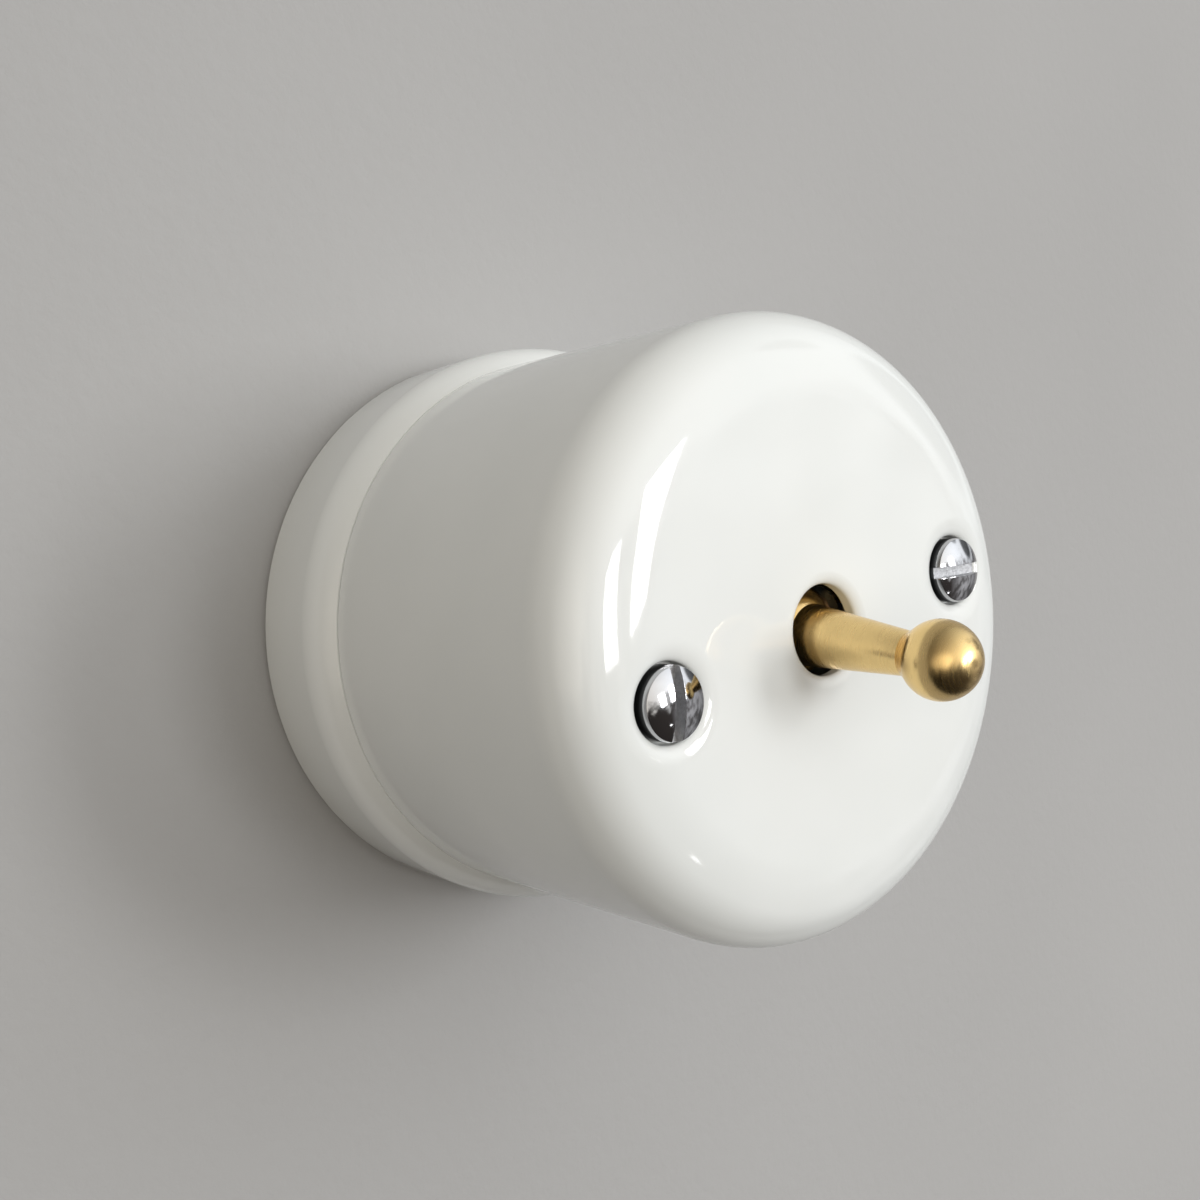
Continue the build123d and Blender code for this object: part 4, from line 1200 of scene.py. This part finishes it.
class SWITCH_OT_trees(bpy.types.Operator):
    """Make the node trees that turn outlines, place screws and wind the spring"""
    bl_idname = "switch.trees"
    bl_label = "Node trees"

    def execute(self, context):
        turning_tree()
        screws_tree()
        spring_tree()
        return {"FINISHED"}


class SWITCH_OT_base(bpy.types.Operator):
    """Make the porcelain base"""
    bl_idname = "switch.base"
    bl_label = "Base"

    def execute(self, context):
        settings = context.scene.switch_settings
        glaze = glazed_porcelain(settings.finishes)
        piece = base_piece(settings.base, settings.screws, glaze, bisque(settings.finishes))
        fit(piece, "root", "porcelain", "base")
        return {"FINISHED"}


class SWITCH_OT_cover(bpy.types.Operator):
    """Make the porcelain cover"""
    bl_idname = "switch.cover"
    bl_label = "Cover"

    def execute(self, context):
        settings = context.scene.switch_settings
        shell = cover_shell(settings.base, settings.cover, settings.screws)
        piece = shell_piece("porcelain_cover", shell, bpy.data.materials["glazed_porcelain"])
        fit(piece, "root", "porcelain", "cover")
        return {"FINISHED"}


class SWITCH_OT_cover_screws(bpy.types.Operator):
    """Make the two polished screws in the face"""
    bl_idname = "switch.cover_screws"
    bl_label = "Cover screws"

    def execute(self, context):
        settings = context.scene.switch_settings
        screws, cover = settings.screws, settings.cover
        pattern = large_screw(screws, "cover_screw", screws.head_side, screws.dome, screws.cover_length,
                              FINE_SEGMENTS)
        seat = cover.height - cover.recess_depth
        places = [(-screws.place, 0, seat, screws.left_slot, False),
                  (screws.place, 0, seat, screws.right_slot, False)]
        # Top of the head's side: below it the chrome material paints the recess's shade.
        side_top = seat + screws.head_side - screws.edge_height
        group = screw_group("polished_cover_screws", pattern, places,
                            polished_chrome(settings.finishes, side_top), milled_slot(settings.finishes))
        fit(group, "root", "chrome_screw", "cover_screws")
        return {"FINISHED"}


class SWITCH_OT_inner_screws(bpy.types.Operator):
    """Make the plated screws at the back and inside"""
    bl_idname = "switch.inner_screws"
    bl_label = "Inner screws"

    def execute(self, context):
        settings = context.scene.switch_settings
        screws, back = settings.screws, settings.base.back_recess
        zinc = metal("zinc_plate", settings.finishes.zinc, 0.27)
        sides = (1, -1)
        pillars = [(side * screws.place, 0, back, 0, True) for side in reversed(sides)]
        bodies = [(side * screws.body_x, -side * screws.body_y, back, 0, True) for side in sides]
        bridges = [(0, side * screws.bridge_y, screws.bridge_seat, 0, False) for side in sides]
        clamps = []
        for side, node in ((1, "upper_clamp"), (-1, "lower_clamp"), (-1, "common_clamp")):
            low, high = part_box(node)
            middle, seat = low.z / 2 + high.z / 2, screws.clamp_rise - low.y
            clamps.append((side * screws.clamp_x, middle, seat, 0, False))
        large = large_screw(screws, "pillar_screw", screws.pillar_head, 0, screws.pillar_length,
                            SMALL_SEGMENTS)
        plated_screws("pillar_screws", large, pillars, zinc)
        for name, size, places in (("body", screws.body_length, bodies),
                                   ("bridge", screws.bridge_length, bridges),
                                   ("clamp", screws.clamp_length, clamps)):
            small = small_screw(screws, f"{name}_screw", size)
            plated_screws(f"{name}_screws", small, places, zinc)
        return {"FINISHED"}


class SWITCH_OT_lever(bpy.types.Operator):
    """Make the turned brass lever"""
    bl_idname = "switch.lever"
    bl_label = "Lever"

    def execute(self, context):
        settings = context.scene.switch_settings
        brass = turned_brass(settings.finishes, settings.lever)
        fit(lever_piece(settings.lever, brass), "lever", "lever_brass", "lever")
        return {"FINISHED"}


class SWITCH_OT_spring(bpy.types.Operator):
    """Wind the over-centre spring"""
    bl_idname = "switch.spring"
    bl_label = "Spring"

    def execute(self, context):
        settings = context.scene.switch_settings
        wire = metal("drawn_spring_wire", settings.finishes.spring, 0.3)
        piece, foot, head = spring_piece(settings.spring, wire)
        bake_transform(piece)
        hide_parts("toggle_spring")
        return {"FINISHED"}


class SWITCH_OT_kept_parts(bpy.types.Operator):
    """Give the parts of the mechanism their finishes"""
    bl_idname = "switch.kept_parts"
    bl_label = "Mechanism finishes"

    def execute(self, context):
        made = slot_finishes(context.scene.switch_settings.finishes)
        for part in frame["record"]["subparts"]:
            if part["material_slot"] in made:
                dress(frame["nodes"][part["node"]], made[part["material_slot"]])
        return {"FINISHED"}


class SWITCH_OT_stage(bpy.types.Operator):
    """Make the wall, the lamps and the camera"""
    bl_idname = "switch.stage"
    bl_label = "Stage"

    def execute(self, context):
        studio = context.scene.switch_settings.studio
        camera(studio)
        wall(studio)
        studio_light(studio)
        return {"FINISHED"}


class SWITCH_PT_parts(bpy.types.Panel):
    """Lists the pieces of the switch"""
    bl_idname = "SWITCH_PT_parts"
    bl_label = "Toggle switch"
    bl_space_type = "VIEW_3D"
    bl_region_type = "UI"
    bl_category = "Switch"

    def draw(self, context):
        for operator in OPERATORS:
            self.layout.operator(operator.bl_idname)


OPERATORS = (SWITCH_OT_trees, SWITCH_OT_base, SWITCH_OT_cover, SWITCH_OT_cover_screws,
             SWITCH_OT_inner_screws, SWITCH_OT_lever, SWITCH_OT_spring, SWITCH_OT_kept_parts,
             SWITCH_OT_stage)
GROUPS = (BaseSizes, CoverSizes, ScrewSizes, LeverSizes, SpringSizes, Finishes, Studio, SwitchSettings)


def register():
    """Register the settings, the operators and the panel."""
    for item in (*GROUPS, *OPERATORS, SWITCH_PT_parts):
        bpy.utils.register_class(item)
    bpy.types.Scene.switch_settings = bpy.props.PointerProperty(
        type=SwitchSettings, name="Switch", description="Sizes and colours of the switch")


def unregister():
    """Remove them again."""
    del bpy.types.Scene.switch_settings
    for item in reversed((*GROUPS, *OPERATORS, SWITCH_PT_parts)):
        bpy.utils.unregister_class(item)


def main():
    """Make the switch and its stage."""
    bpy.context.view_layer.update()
    register()
    bpy.ops.switch.trees()
    bpy.ops.switch.base()
    bpy.ops.switch.cover()
    bpy.ops.switch.cover_screws()
    bpy.ops.switch.inner_screws()
    bpy.ops.switch.lever()
    bpy.ops.switch.spring()
    bpy.ops.switch.kept_parts()
    bpy.ops.switch.stage()


if __name__ == "__main__":
    main()
